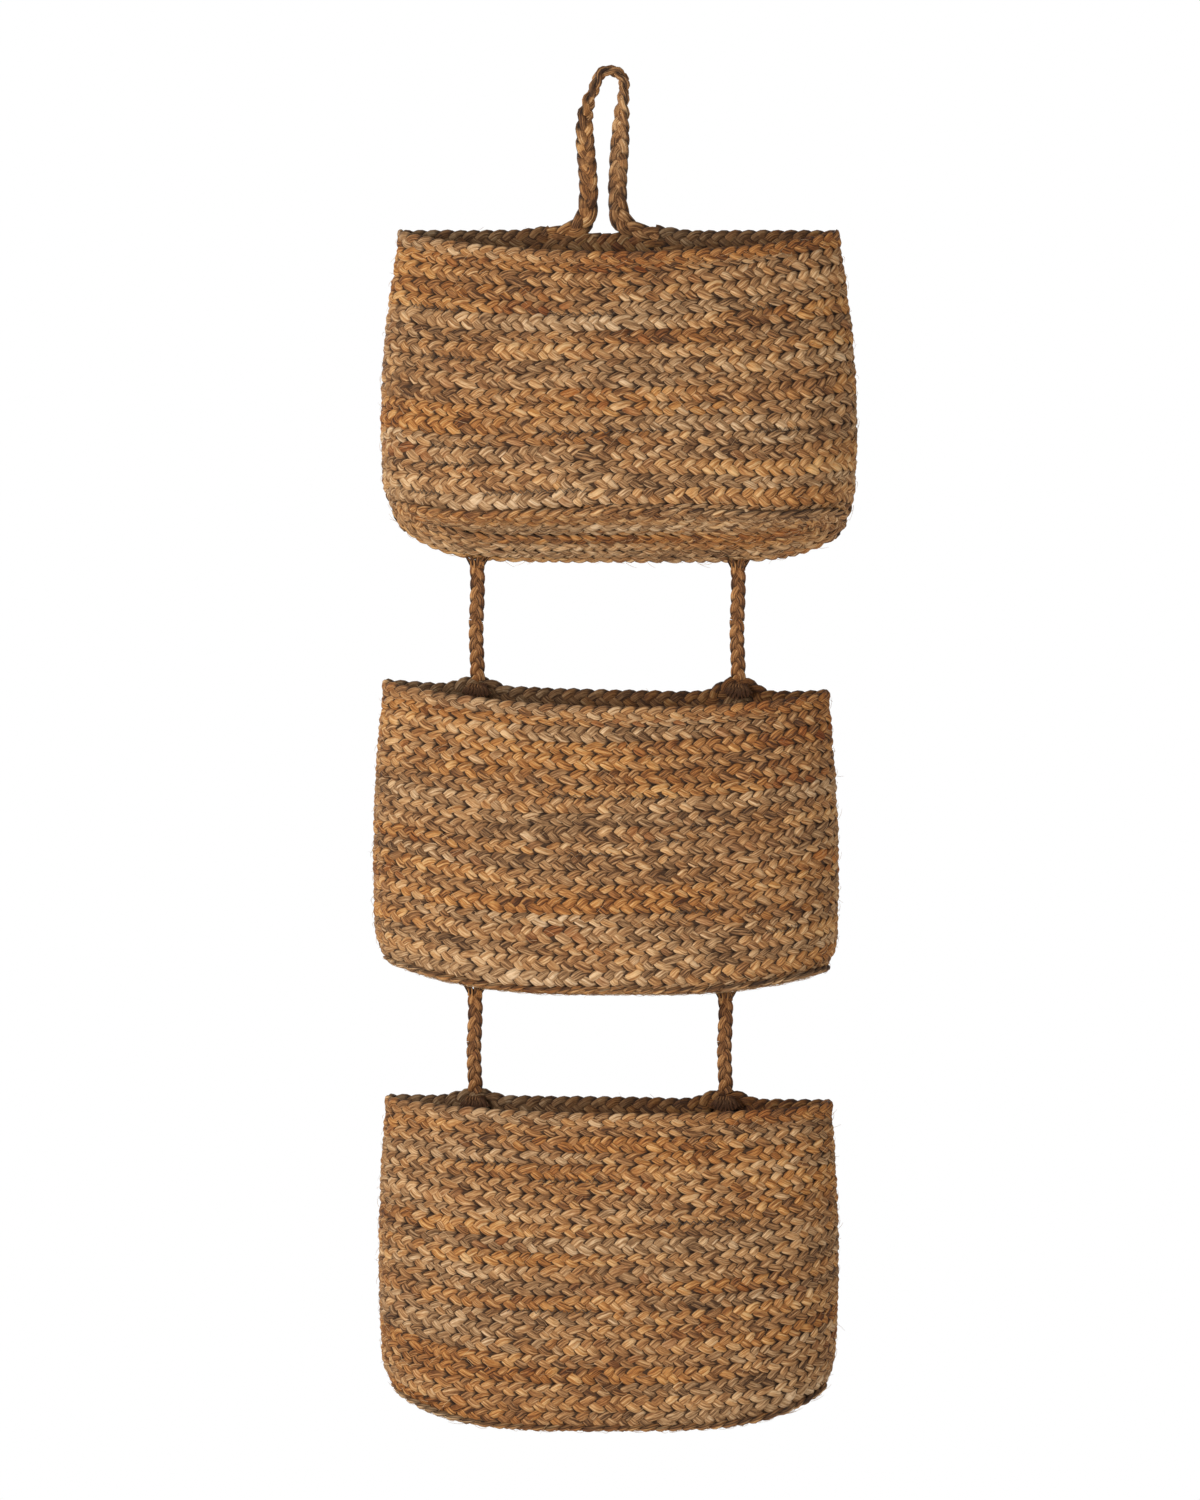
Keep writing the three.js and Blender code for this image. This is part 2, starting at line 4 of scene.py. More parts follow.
import bpy
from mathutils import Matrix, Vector


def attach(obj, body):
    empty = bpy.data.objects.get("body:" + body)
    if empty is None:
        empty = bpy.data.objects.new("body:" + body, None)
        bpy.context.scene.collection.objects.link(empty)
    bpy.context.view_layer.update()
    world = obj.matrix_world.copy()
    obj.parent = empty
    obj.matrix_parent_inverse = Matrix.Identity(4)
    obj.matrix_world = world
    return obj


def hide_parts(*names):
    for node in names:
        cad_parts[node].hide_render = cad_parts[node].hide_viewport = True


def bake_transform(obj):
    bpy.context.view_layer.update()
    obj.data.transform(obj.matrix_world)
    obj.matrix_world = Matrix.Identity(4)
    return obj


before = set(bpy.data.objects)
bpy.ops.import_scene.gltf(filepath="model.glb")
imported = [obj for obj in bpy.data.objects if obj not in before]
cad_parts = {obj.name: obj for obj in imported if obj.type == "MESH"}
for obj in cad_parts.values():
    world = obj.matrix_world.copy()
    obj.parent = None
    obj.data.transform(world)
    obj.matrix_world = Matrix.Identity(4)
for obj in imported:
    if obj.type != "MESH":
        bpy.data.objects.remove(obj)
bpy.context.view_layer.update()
print("frame loaded")

mm = 0.001
up = Vector((0, 0, 1))
back = Vector((0, 1, 0))
chance = random.Random(41)


def mix(a, b, share):
    return a + (b - a) * share


def clamp(value, low=0.0, high=1.0):
    return min(max(value, low), high)


def ease(share):
    share = clamp(share)
    return share * share * (3 - 2 * share)


# Camera, lamps and a white room

# "shown" is the height that the picture takes in at the basket
view = {"distance": 4.0, "shown": 1.08, "x": -0.0072, "z": -0.486, "sensor": 36}
lamps = [
    {"name": "window_left", "place": (-2.3, -1.9, -0.15), "size": 1.0, "power": 70},
    {"name": "window_right", "place": (2.3, -2.1, -0.7), "size": 1.3, "power": 22},
    {"name": "softbox_above", "place": (0.0, -0.9, 1.35), "size": 1.2, "power": 4},
    {"name": "card_below", "place": (0.2, -1.9, -1.9), "size": 1.6, "power": 26},
    {"name": "bounce_behind", "place": (-1.7, 2.2, 0.3), "size": 1.0, "power": 24},
]
room = {"strength": 0.2, "colour": (1.0, 0.99, 0.97, 1.0)}
ground = {"level": -1.25, "left": -1.0, "right": 1.0, "front": -0.7, "back": 0.9,
          "colour": (0.82, 0.82, 0.82, 1)}


def addNode(tree, kind, inputs=None, **settings):
    # inputs are values, or the sockets of other nodes
    node = tree.nodes.new(kind)
    for name, value in settings.items():
        setattr(node, name, value)
    for key, value in (inputs or {}).items():
        if isinstance(value, bpy.types.NodeSocket):
            tree.links.new(value, node.inputs[key])
        else:
            node.inputs[key].default_value = value
    return node


def maths(tree, operation, *values):
    return addNode(tree, "ShaderNodeMath", dict(enumerate(values)), operation=operation).outputs[0]


def plus(tree, a, b):
    return maths(tree, "ADD", a, b)


def minus(tree, a, b):
    return maths(tree, "SUBTRACT", a, b)


def times(tree, a, b):
    return maths(tree, "MULTIPLY", a, b)


def vectorMaths(tree, operation, *values):
    return addNode(tree, "ShaderNodeVectorMath", dict(enumerate(values)), operation=operation).outputs[0]


def scaled(tree, vector, amount):
    node = addNode(tree, "ShaderNodeVectorMath", {0: vector, "Scale": amount}, operation="SCALE")
    return node.outputs[0]


def vectorOf(tree, x=0.0, y=0.0, z=0.0):
    return addNode(tree, "ShaderNodeCombineXYZ", {"X": x, "Y": y, "Z": z}).outputs[0]


def limited(tree, value):
    return addNode(tree, "ShaderNodeClamp", {"Value": value}).outputs[0]


def makeCamera():
    data = bpy.data.cameras.new("camera")
    data.sensor_width = view["sensor"]
    data.lens = view["sensor"] * view["distance"] / view["shown"]
    camera = bpy.data.objects.new("camera", data)
    camera.location = (view["x"], -view["distance"], view["z"])
    camera.rotation_euler = (math.pi / 2, 0, 0)
    bpy.context.scene.collection.objects.link(camera)
    bpy.context.scene.camera = camera


def makeLamps():
    middle = Vector((view["x"], 0, view["z"]))
    for lamp in lamps:
        data = bpy.data.lights.new(lamp["name"], "AREA")
        data.size = lamp["size"]
        data.energy = lamp["power"]
        light = bpy.data.objects.new(lamp["name"], data)
        light.location = lamp["place"]
        light.rotation_euler = (middle - light.location).to_track_quat("-Z", "Y").to_euler()
        bpy.context.scene.collection.objects.link(light)


def makeRoom():
    world = bpy.data.worlds.new("white_room")
    bpy.context.scene.world = world
    world.use_nodes = True
    tree = world.node_tree
    tree.nodes.clear()
    soft = addNode(tree, "ShaderNodeBackground", {"Color": room["colour"], "Strength": room["strength"]})
    white = addNode(tree, "ShaderNodeBackground", {"Color": (1, 1, 1, 1), "Strength": 1.0})
    path = addNode(tree, "ShaderNodeLightPath").outputs
    mirrored = maths(tree, "MAXIMUM", path["Is Glossy Ray"], path["Is Transmission Ray"])
    seen = maths(tree, "MAXIMUM", path["Is Camera Ray"], mirrored)
    both = addNode(tree, "ShaderNodeMixShader", {0: seen, 1: soft.outputs[0], 2: white.outputs[0]})
    addNode(tree, "ShaderNodeOutputWorld", {"Surface": both.outputs[0]})


def makeGround():
    # the pale floor under the basket, below the picture's lower edge
    mesh = bpy.data.meshes.new("ground")
    xs, ys = (ground["left"], ground["right"]), (ground["front"], ground["back"])
    corners = [(xs[0], ys[0]), (xs[1], ys[0]), (xs[1], ys[1]), (xs[0], ys[1])]
    mesh.from_pydata([(x, y, ground["level"]) for x, y in corners], [], [(0, 1, 2, 3)])
    paint = bpy.data.materials.new("pale_ground")
    paint.use_nodes = True
    paint.node_tree.nodes["Principled BSDF"].inputs["Base Color"].default_value = ground["colour"]
    mesh.materials.append(paint)
    plane = bpy.data.objects.new("ground", mesh)
    bpy.context.scene.collection.objects.link(plane)


makeCamera()
makeLamps()
makeRoom()
makeGround()
bpy.context.scene.view_settings.view_transform = "Standard"
print("camera, lamps and room")


# The pockets' form, in the same shares of three sizes as in the CAD model

sizes = {"pocketWidth": 324, "pocketDepth": 80, "pocketHeight": 240}
# wallPlane is the flat back's place, and footShift the middle of the loop's feet
form = {"wallPlane": 7.7, "foldRadius": 10, "mouthRoundness": 2, "floorRoundness": 2.5, "dipPower": 1.5,
        "footShift": -5, "liftSpread": 70, "archSpread": 25, "archRise": 6.5,
        "tuck": 5, "tuckShare": 0.1, "slopeShare": 0.05}
# the rim's width, the height of a wall course, and how many points a turn of the coil has on each side
plait = {"width": 12.9, "course": 9.8, "thickness": 6.6, "frontPoints": 96, "foldPoints": 6, "backPoints": 60,
         "fewestPoints": 4}
pocketShares = [
    {"name": "top", "rimTop": -112, "climb": 0.8, "cornerPower": 6,
     "pocketWidth": {"shift": 0.02, "mouthWidth": 0.988, "floorWidth": 1.043, "bellyWidth": 0.04,
                     "lowestShift": 0.012},
     "pocketDepth": {"mouthDepth": 0.675, "floorDepth": 1, "bellyDepth": 0.05},
     "pocketHeight": {"height": 1.0125, "frontDip": 0.08, "rimFall": 0, "rimSag": 0, "rimLift": 0.0375,
                      "floorTilt": 0.16, "cornerRise": 0.14}},
    {"name": "middle", "rimTop": -439.53, "climb": 0.8, "cornerPower": 3,
     "pocketWidth": {"shift": -0.009, "mouthWidth": 0.997, "floorWidth": 1.022, "bellyWidth": 0.025,
                     "lowestShift": 0.03},
     "pocketDepth": {"mouthDepth": 0.7, "floorDepth": 1, "bellyDepth": 0.06},
     "pocketHeight": {"height": 0.9375, "frontDip": 0.05, "rimFall": 0.033, "rimSag": 0.015, "rimLift": 0,
                      "floorTilt": 0.02, "cornerRise": 0.096}},
    {"name": "bottom", "rimTop": -736.65, "climb": 0.4, "cornerPower": 4,
     "pocketWidth": {"shift": -0.003, "mouthWidth": 0.997, "floorWidth": 1, "bellyWidth": 0.025,
                     "lowestShift": 0},
     "pocketDepth": {"mouthDepth": 0.725, "floorDepth": 1, "bellyDepth": 0.075},
     "pocketHeight": {"height": 0.98, "frontDip": 0.033, "rimFall": 0.017, "rimSag": 0, "rimLift": 0,
                      "floorTilt": 0.008, "cornerRise": 0.125}},
]
links = [
    {"name": "upper", "left": -95.9, "right": 92.0, "top": -358.35, "bottom": -431.35},
    {"name": "lower", "left": -97.5, "right": 82.9, "top": -668.17, "bottom": -728.47},
]
loop = {"eye": 13.6, "thickness": 6.6, "width": 15.4, "drop": 89, "legSpread": 26, "footSpread": 21.2,
        "widestShare": 0.36, "straightShare": 0.86, "twistShare": 0.68, "footRun": 40, "footOut": 23,
        "footSink": 1.5, "footUp": 19, "footWidth": 17.5, "bend": 16, "lap": 3,
        "footPoints": 8, "points": 240}


def measured(shares):
    pocket = {key: value for key, value in shares.items() if not isinstance(value, dict)}
    for size, length in sizes.items():
        pocket.update({key: share * length for key, share in shares[size].items()})
    pocket["arches"] = []
    return pocket


pockets = [measured(shares) for shares in pocketShares]


def fallAt(pocket, x):
    aside = (x - pocket["shift"]) / pocket["mouthWidth"]
    return pocket["rimFall"] * aside + pocket["rimSag"] * (1 - 4 * aside * aside)


for link, pocket in zip(links, pockets[1:]):
    for x in (link["left"], link["right"]):
        pocket["arches"].append({"x": x, "rise": form["archRise"] + fallAt(pocket, x)})


def outline(pocket, side, turn, share):
    # the pocket from above at a share of its height: a point, and which way the wall faces there
    belly = 4 * share * (1 - share)
    half = (mix(pocket["floorWidth"], pocket["mouthWidth"], share) + pocket["bellyWidth"] * belly) / 2
    depth = mix(pocket["floorDepth"], pocket["mouthDepth"], share) + pocket["bellyDepth"] * belly
    # the wall rounds in a little where it meets the floor
    tuck = form["tuck"] * max(1 - share / form["tuckShare"], 0) ** 2
    half, depth = half - tuck, depth - tuck
    power = mix(form["floorRoundness"], form["mouthRoundness"], share)
    fold = form["foldRadius"]
    middle = form["wallPlane"] - fold
    straight, bow = half - fold, depth - fold
    if side == "front":
        cosine, sine = math.cos(math.pi * turn), max(math.sin(math.pi * turn), 0.0)
        x = -math.copysign(abs(cosine) ** (2 / power), cosine)
        y = -(sine ** (2 / power))
        slopeX = math.copysign(abs(x) ** (power - 1), x) / half
        slopeY = -(abs(y) ** (power - 1)) / bow
        return pocket["shift"] + x * half, middle + y * bow, Vector((slopeX, slopeY, 0)).normalized()
    if side == "back":
        return pocket["shift"] + mix(straight, -straight, turn), form["wallPlane"], back
    angle = (turn if side == "right" else 1 + turn) * math.pi / 2
    outward = Vector((math.cos(angle), math.sin(angle), 0))
    x = pocket["shift"] + (straight if side == "right" else -straight) + fold * outward.x
    return x, middle + fold * outward.y, outward


def hill(x, middle, spread):
    # a smooth rise along x: 1 at its middle, and 0 from its spread on
    return (1 + math.cos(math.pi * clamp(abs(x - middle) / spread))) / 2


def rimHeight(pocket, side, turn):
    x, y, _ = outline(pocket, side, turn, 1)
    pulled = hill(x, form["footShift"], form["liftSpread"]) if side == "back" else 0
    dip = pocket["frontDip"] * forwardAt(pocket, y) ** form["dipPower"]
    return pocket["rimTop"] - dip - fallAt(pocket, x) + pocket["rimLift"] * pulled


def floorHeight(pocket, x, y):
    aside = abs(x - pocket["shift"] - pocket["lowestShift"]) / (pocket["floorWidth"] / 2)
    forward = (form["wallPlane"] - y) / pocket["floorDepth"]
    rise = pocket["cornerRise"] * aside ** pocket["cornerPower"] + pocket["floorTilt"] * forward
    return pocket["rimTop"] - pocket["height"] + plait["thickness"] + rise


def foldHeight(pocket, x):
    # the fold in front, where the wall ends on the floor's front edge
    aside = clamp(abs(x - pocket["shift"]) / (pocket["floorWidth"] / 2))
    power = form["floorRoundness"]
    bow = (pocket["floorDepth"] - form["foldRadius"]) * (1 - aside**power) ** (1 / power)
    return floorHeight(pocket, x, form["wallPlane"] - form["foldRadius"] - bow)


def archHeight(pocket, x):
    return sum(arch["rise"] * hill(x, arch["x"], form["archSpread"]) for arch in pocket["arches"])


def forwardAt(pocket, y):
    # 0 at the back, 1 at the middle of the front
    return clamp((form["wallPlane"] - form["foldRadius"] - y) / (pocket["mouthDepth"] - form["foldRadius"]))


def borderWidth(pocket, y):
    return mix(plait["width"], plait["course"], ease(forwardAt(pocket, y) * 2))


def placesAround():
    # from the left end of the front: the front, the right fold, the back and the left fold
    counts = [("front", plait["frontPoints"]), ("right", plait["foldPoints"]),
              ("back", plait["backPoints"]), ("left", plait["foldPoints"])]
    return [(side, i / count) for side, count in counts for i in range(count)]


def climbAt(pocket, side, turn):
    if side == "front":
        return pocket["climb"] * turn
    if side == "right":
        return pocket["climb"]
    if side == "back":
        return mix(pocket["climb"], 1, turn)
    return 1


# The lines that the plaits follow

unevenness = {"height": 1.3, "depth": 0.6, "slow": 0.013, "quick": 0.037, "slowPart": 0.6, "slowApart": 2.1,
              "quickApart": 5.3, "seamApart": 1.7, "courseApart": 0.8, "courseStart": 3}
# shares of a course: how it runs out at the rim and at the floor
ending = {"closed": 0.2, "full": 0.7, "least": 0.15, "overlap": 0.3, "joined": 0.6}
# how far the coil goes in under the rim's course, round the loop's feet and round the floor's edge
edges = {"underRim": 1.5, "footFill": 2.0, "fillFrom": 9, "fillPast": 6, "fillEase": 9,
         "turnedUnder": 3.0, "turnedBehind": 1.2, "turnedQuickly": 2.5, "raisedOver": 32, "shortRows": 12}


def wobble(x, seed):
    slow = math.sin(x * unevenness["slow"] + seed * unevenness["slowApart"])
    quick = math.sin(x * unevenness["quick"] + seed * unevenness["quickApart"])
    return unevenness["slowPart"] * slow + (1 - unevenness["slowPart"]) * quick


def edgeShift(pocket, edge, x):
    # how far the seam between two courses strays, less and less towards the rim and the floor
    free = ease(min(edge, coursesIn(pocket) - edge))
    return unevenness["height"] * wobble(x, edge * unevenness["seamApart"] + pocket["shift"]) * free


def slipped(seam, courses):
    # a seam's place, in courses from the rim, as it runs out at the rim or at the floor
    if seam > courses / 2:
        return courses - slipped(courses - seam, courses)
    if seam >= ending["full"]:
        return seam
    if seam <= ending["closed"]:
        return 0
    reach = ending["full"] - ending["closed"]
    share = (seam - ending["closed"]) / reach
    return ending["full"] * ease(share) + reach * share * share * (share - 1)


def widened(size):
    # narrow ends of a course overlap their neighbours more
    return size + ending["overlap"] * max(1 - size, 0)


def wallPoint(pocket, side, turn, z, inset):
    # a point so far in from the wall's face, and the way that the face looks, up or down its slope too
    footX, footY, _ = outline(pocket, side, turn, 0)
    bottom = floorHeight(pocket, footX, footY)
    top = rimHeight(pocket, side, turn) - plait["width"]
    share = clamp((z - bottom) / (top - bottom))
    x, y, outward = outline(pocket, side, turn, share)
    low, high = max(share - form["slopeShare"], 0), min(share + form["slopeShare"], 1)
    lower, upper = outline(pocket, side, turn, low), outline(pocket, side, turn, high)
    rise = Vector((upper[0] - lower[0], upper[1] - lower[1], (high - low) * (top - bottom))).normalized()
    facing = (outward - rise * outward.dot(rise)).normalized()
    return Vector((x, y, z)) - facing * inset, facing


def coursesIn(pocket):
    top = rimHeight(pocket, "front", 0.5) - plait["course"]
    return round((top - foldHeight(pocket, outline(pocket, "front", 0.5, 0)[0])) / plait["course"])


def faceOf(look, spread):
    # from a plait's middle line out to its face
    return (look["Depth"] + look["Strand thickness"] / 2) * spread / mm


def courseStation(pocket, side, turn, z, spread, sunk=0):
    # a place on a course's middle line, the way the course faces there, and how wide it is for its kind
    face = faceOf(courseLook, spread)
    point, outward = wallPoint(pocket, side, turn, z, face + sunk)
    return {"point": point, "outward": outward, "spread": spread, "face": face}


def footHeight(pocket, side, turn):
    # where the coil starts: on the floor, but at the back level with the fold in front; and the floor there
    x, y, _ = outline(pocket, side, turn, 0)
    floor = floorHeight(pocket, x, y)
    if side != "back" or pocket["floorTilt"] < plait["course"] * ending["joined"]:
        return floor, floor
    aside = min(turn, 1 - turn) * (pocket["floorWidth"] - 2 * form["foldRadius"])
    raised = max(foldHeight(pocket, x) - floor, 0) * ease(aside / edges["raisedOver"])
    return floor + raised, floor


def levelled(run):
    # a course that climbs steeply gets narrower, so that it stays as high as its place
    for a, b in zip(run, run[1:]):
        rise = (b["point"] - a["point"]).normalized().z
        a["spread"] *= math.sqrt(1 - rise * rise)
    return run


def coilTop(pocket, side, turn):
    # where the coil ends, a little way in under the rim's course
    x, y, _ = outline(pocket, side, turn, 1)
    top = rimHeight(pocket, side, turn) - borderWidth(pocket, y) + edges["underRim"]
    if side == "back":
        top += archHeight(pocket, x)
    if side == "back" and pocket["name"] == "top":
        # it also fills the corners beside the loop's feet
        past = abs(x - form["footShift"]) - edges["fillFrom"]
        left = loop["footRun"] + edges["fillPast"] - abs(x - form["footShift"])
        top += edges["footFill"] * ease(past / edges["fillEase"]) * ease(left / edges["fillEase"])
    return top


def coilFoot(pocket, side, turn):
    # where it starts, turned in round the floor's edge
    foot, _ = footHeight(pocket, side, turn)
    ahead = (form["wallPlane"] - outline(pocket, side, turn, 0)[1]) / pocket["floorDepth"]
    return foot - mix(edges["turnedBehind"], edges["turnedUnder"], ease(ahead * edges["turnedQuickly"]))


def wallCoil(pocket):
    # one plait from the wall's foot, round and round, up to the rim; the runs where it shows
    runs = [[]]
    courses = coursesIn(pocket)
    for course in range(courses, -1, -1):
        for side, turn in placesAround():
            seam = course - climbAt(pocket, side, turn)
            high, low = slipped(seam, courses), slipped(seam + 1, courses)
            if low - high < ending["least"]:
                if runs[-1]:
                    runs.append([])
                continue
            x, y, _ = outline(pocket, side, turn, 0)
            top = coilTop(pocket, side, turn)
            pitch = (top - coilFoot(pocket, side, turn)) / courses
            upper = top - high * pitch + edgeShift(pocket, high, x)
            lower = top - low * pitch + edgeShift(pocket, low, x)
            spread = widened((upper - lower) / plait["course"])
            uneven = wobble(x + y, course * unevenness["courseApart"] + unevenness["courseStart"])
            sunk = unevenness["depth"] * max(uneven, 0)
            runs[-1].append(courseStation(pocket, side, turn, (upper + lower) / 2, spread, sunk))
    return [levelled(run) for run in runs if len(run) >= plait["fewestPoints"]]


def shortCourses(pocket):
    # rows that fill the back below the level of the fold in front, and run out towards the corners
    runs = []
    for row in range(edges["shortRows"]):
        run = []
        for side, turn in placesAround():
            foot, floor = footHeight(pocket, side, turn)
            high = foot - row * plait["course"]
            low = max(high - plait["course"], floor)
            if high - low >= ending["least"] * plait["course"]:
                spread = widened((high - low) / plait["course"])
                run.append(courseStation(pocket, side, turn, low + spread * plait["course"] / 2, spread))
        if len(run) > plait["fewestPoints"]:
            runs.append(levelled(run))
    return runs


# how deep the plait's middle lies below the floor's upper face, and in what share of a turn the coil opens
floorWinding = {"rings": 4, "depth": 2.1, "insetShare": 0.965, "startShare": 0.45, "tightness": 1.03,
                "step": 2}


def floorCoil(pocket):
    # an oval, wound from a line along the floor's middle out to its edge
    rings, step = floorWinding["rings"], floorWinding["step"]
    reach = (pocket["floorWidth"] - pocket["floorDepth"]) / 2
    middleY = form["wallPlane"] - pocket["floorDepth"] / 2
    places = placesAround()
    stations = []

    def under(x, y):
        return Vector((x, y, floorHeight(pocket, x, y) - floorWinding["depth"]))

    frontTurn = plait["frontPoints"] / len(places)
    for i in range(int((rings + frontTurn) * len(places))):
        side, turn = places[i % len(places)]
        wound = i / len(places) - frontTurn
        inner = slipped(clamp(wound, 0, rings) + rings, 2 * rings) - rings
        inner *= ease(wound / floorWinding["startShare"])
        outer = slipped(wound + 1 + rings, 2 * rings) - rings
        if outer - inner < ending["least"]:
            continue
        x, y, _ = outline(pocket, side, turn, 0)
        lineX = pocket["shift"] + clamp(x - pocket["shift"], -reach, reach)
        share = (inner + outer) / 2 / rings * floorWinding["insetShare"]
        x, y = mix(lineX, x, share), mix(middleY, y, share)
        slope = (under(x + step, y) - under(x - step, y)).cross(under(x, y + step) - under(x, y - step))
        spread = (outer - inner) * pocket["floorDepth"] / 2 / rings / plait["course"]
        stations.append({"point": under(x, y), "outward": -slope.normalized(),
                         "spread": spread * floorWinding["tightness"], "face": faceOf(courseLook, spread)})
    return stations


def rimStation(pocket, side, turn):
    x, y, outward = outline(pocket, side, turn, 1)
    width = borderWidth(pocket, y)
    z = rimHeight(pocket, side, turn) - width / 2
    if side == "back":
        z += archHeight(pocket, x)
    spread = width / plait["width"]
    face = faceOf(edging, spread)
    return {"point": Vector((x, y, z)) - outward * face, "outward": outward, "spread": spread, "face": face}


def lengthOf(stations):
    return sum((b["point"] - a["point"]).length for a, b in zip(stations, stations[1:])) * mm


def withLead(stations, extra):
    # spreads some extra turns of the pattern evenly along a line
    for i, station in enumerate(stations):
        station["lead"] = extra * i / (len(stations) - 1)
    return stations


# A node group that plaits three strands along a line, round a thin core that closes the seams

# how the strands' noise changes along a plait and from strand to strand, and the core's tube
strandNoise = {"drift": 0.7, "plump": 42, "apart": 9.1}
coreTube = {"sides": 8, "steps": 3}


def newGroup(name, sizes, made):
    tree = bpy.data.node_groups.new(name, "GeometryNodeTree")
    kinds = {"Line": "Geometry", **dict.fromkeys(sizes, "Float"), "Sides": "Int", "Material": "Material"}
    for socket, kind in kinds.items():
        tree.interface.new_socket(socket, in_out="INPUT", socket_type="NodeSocket" + kind)
    tree.interface.new_socket(made, in_out="OUTPUT", socket_type="NodeSocketGeometry")
    given = addNode(tree, "NodeGroupInput").outputs
    return tree, given, addNode(tree, "GeometryNodeMeshToCurve", {"Mesh": given["Line"]}).outputs[0]


def handOver(tree, geometry, given, made):
    smooth = addNode(tree, "GeometryNodeSetShadeSmooth", {"Geometry": geometry}).outputs[0]
    real = addNode(tree, "GeometryNodeRealizeInstances", {"Geometry": smooth}).outputs[0]
    dyed = addNode(tree, "GeometryNodeSetMaterial", {"Geometry": real, "Material": given["Material"]})
    addNode(tree, "NodeGroupOutput", {made: dyed.outputs[0]})
    return tree


def read(tree, name, kind="FLOAT"):
    node = addNode(tree, "GeometryNodeInputNamedAttribute", {"Name": name}, data_type=kind)
    return node.outputs["Attribute"]


def stored(tree, geometry, name, value, kind="FLOAT"):
    inputs = {"Geometry": geometry, "Name": name, "Value": value}
    node = addNode(tree, "GeometryNodeStoreNamedAttribute", inputs, data_type=kind, domain="POINT")
    return node.outputs[0]


def stepped(tree, line, step):
    inputs = {"Curve": line, "Length": step}
    return addNode(tree, "GeometryNodeResampleCurve", inputs, mode="LENGTH").outputs[0]


def turnedOut(tree, curve, outward):
    inputs = {"Curve": curve, "Normal": outward}
    return addNode(tree, "GeometryNodeSetCurveNormal", inputs, mode="FREE").outputs[0]


def skinned(tree, curve, sides, thickness, width, scale):
    # a tube along a curve, whose section lies flat on the faces of the plait
    ring = addNode(tree, "GeometryNodeCurvePrimitiveCircle", {"Resolution": sides, "Radius": 0.5}).outputs[0]
    size = vectorOf(tree, thickness, width, 1.0)
    section = addNode(tree, "GeometryNodeTransform", {"Geometry": ring, "Scale": size}).outputs[0]
    place = addNode(tree, "GeometryNodeInputPosition").outputs[0]
    marked = stored(tree, section, "section", place, "FLOAT_VECTOR")
    inputs = {"Curve": curve, "Profile Curve": marked, "Scale": scale, "Fill Caps": True}
    return addNode(tree, "GeometryNodeCurveToMesh", inputs).outputs[0]


def plaitGroup():
    tree, given, line = newGroup("Plait along a line", (
        "Period", "Swing", "Fullness", "Depth", "Strand width", "Strand thickness", "Swell",
        "Irregular lobes", "Irregular strands", "Step", "Core width", "Core thickness"), "Plait")
    even = stepped(tree, line, given["Step"])
    length = addNode(tree, "GeometryNodeSplineParameter").outputs["Length"]
    run = stored(tree, even, "along", plus(tree, length, read(tree, "start")))
    three = addNode(tree, "GeometryNodeDuplicateElements", {"Geometry": run, "Amount": 3}, domain="SPLINE")
    strands = stored(tree, three.outputs[0], "strand", three.outputs["Duplicate Index"])

    # a strand goes from side to side once in a period, and over and under twice
    turns = plus(tree, maths(tree, "DIVIDE", read(tree, "along"), given["Period"]), read(tree, "lead"))
    inputs = {"W": times(tree, turns, strandNoise["drift"]), "Scale": 1.0}
    drift = addNode(tree, "ShaderNodeTexNoise", inputs, noise_dimensions="1D").outputs[0]
    turns = plus(tree, turns, times(tree, drift, given["Irregular lobes"]))
    turns = plus(tree, turns, maths(tree, "DIVIDE", read(tree, "strand"), 3.0))
    strands = stored(tree, strands, "lobe", times(tree, turns, 2.0))
    angle = times(tree, read(tree, "lobe"), math.pi)
    outward, spread = read(tree, "outward", "FLOAT_VECTOR"), read(tree, "spread")
    tangent = addNode(tree, "GeometryNodeInputTangent").outputs[0]
    across = vectorMaths(tree, "NORMALIZE", vectorMaths(tree, "CROSS_PRODUCT", outward, tangent))
    # full strands lie long against the plait's edges, others cross it in straight lines
    swing = maths(tree, "SINE", angle)
    crossing = minus(tree, 1.0, times(tree, swing, swing))
    swing = times(tree, swing, plus(tree, 1.0, times(tree, crossing, given["Fullness"])))
    sideways = times(tree, times(tree, swing, given["Swing"]), spread)
    twice = maths(tree, "SINE", times(tree, angle, 2))
    spot = vectorOf(tree, times(tree, read(tree, "along"), strandNoise["plump"]),
                    times(tree, read(tree, "strand"), strandNoise["apart"]))
    plump = addNode(tree, "ShaderNodeTexNoise", {"Vector": spot, "Scale": 1.0}).outputs[0]
    plump = times(tree, minus(tree, plump, 0.5), given["Irregular strands"])
    lifted = times(tree, times(tree, plus(tree, twice, plump), given["Depth"]), spread)
    offset = vectorMaths(tree, "ADD", scaled(tree, across, sideways), scaled(tree, outward, lifted))
    strands = addNode(tree, "GeometryNodeSetPosition", {"Geometry": strands, "Offset": offset}).outputs[0]
    swell = plus(tree, plus(tree, 1.0, times(tree, twice, given["Swell"])), plump)
    skin = skinned(tree, turnedOut(tree, strands, outward), given["Sides"], given["Strand thickness"],
                   given["Strand width"], times(tree, swell, spread))

    coarse = stepped(tree, line, times(tree, given["Step"], coreTube["steps"]))
    # the core is marked for painted shade: the material darkens it, as the seams between strands are shaded
    shadedCore = turnedOut(tree, stored(tree, coarse, "shadedCore", 1.0), outward)
    core = skinned(tree, shadedCore, coreTube["sides"], given["Core thickness"], given["Core width"], spread)

    both = addNode(tree, "GeometryNodeJoinGeometry")
    tree.links.new(core, both.inputs[0])
    tree.links.new(skin, both.inputs[0])
    return handOver(tree, both.outputs[0], given, "Plait")


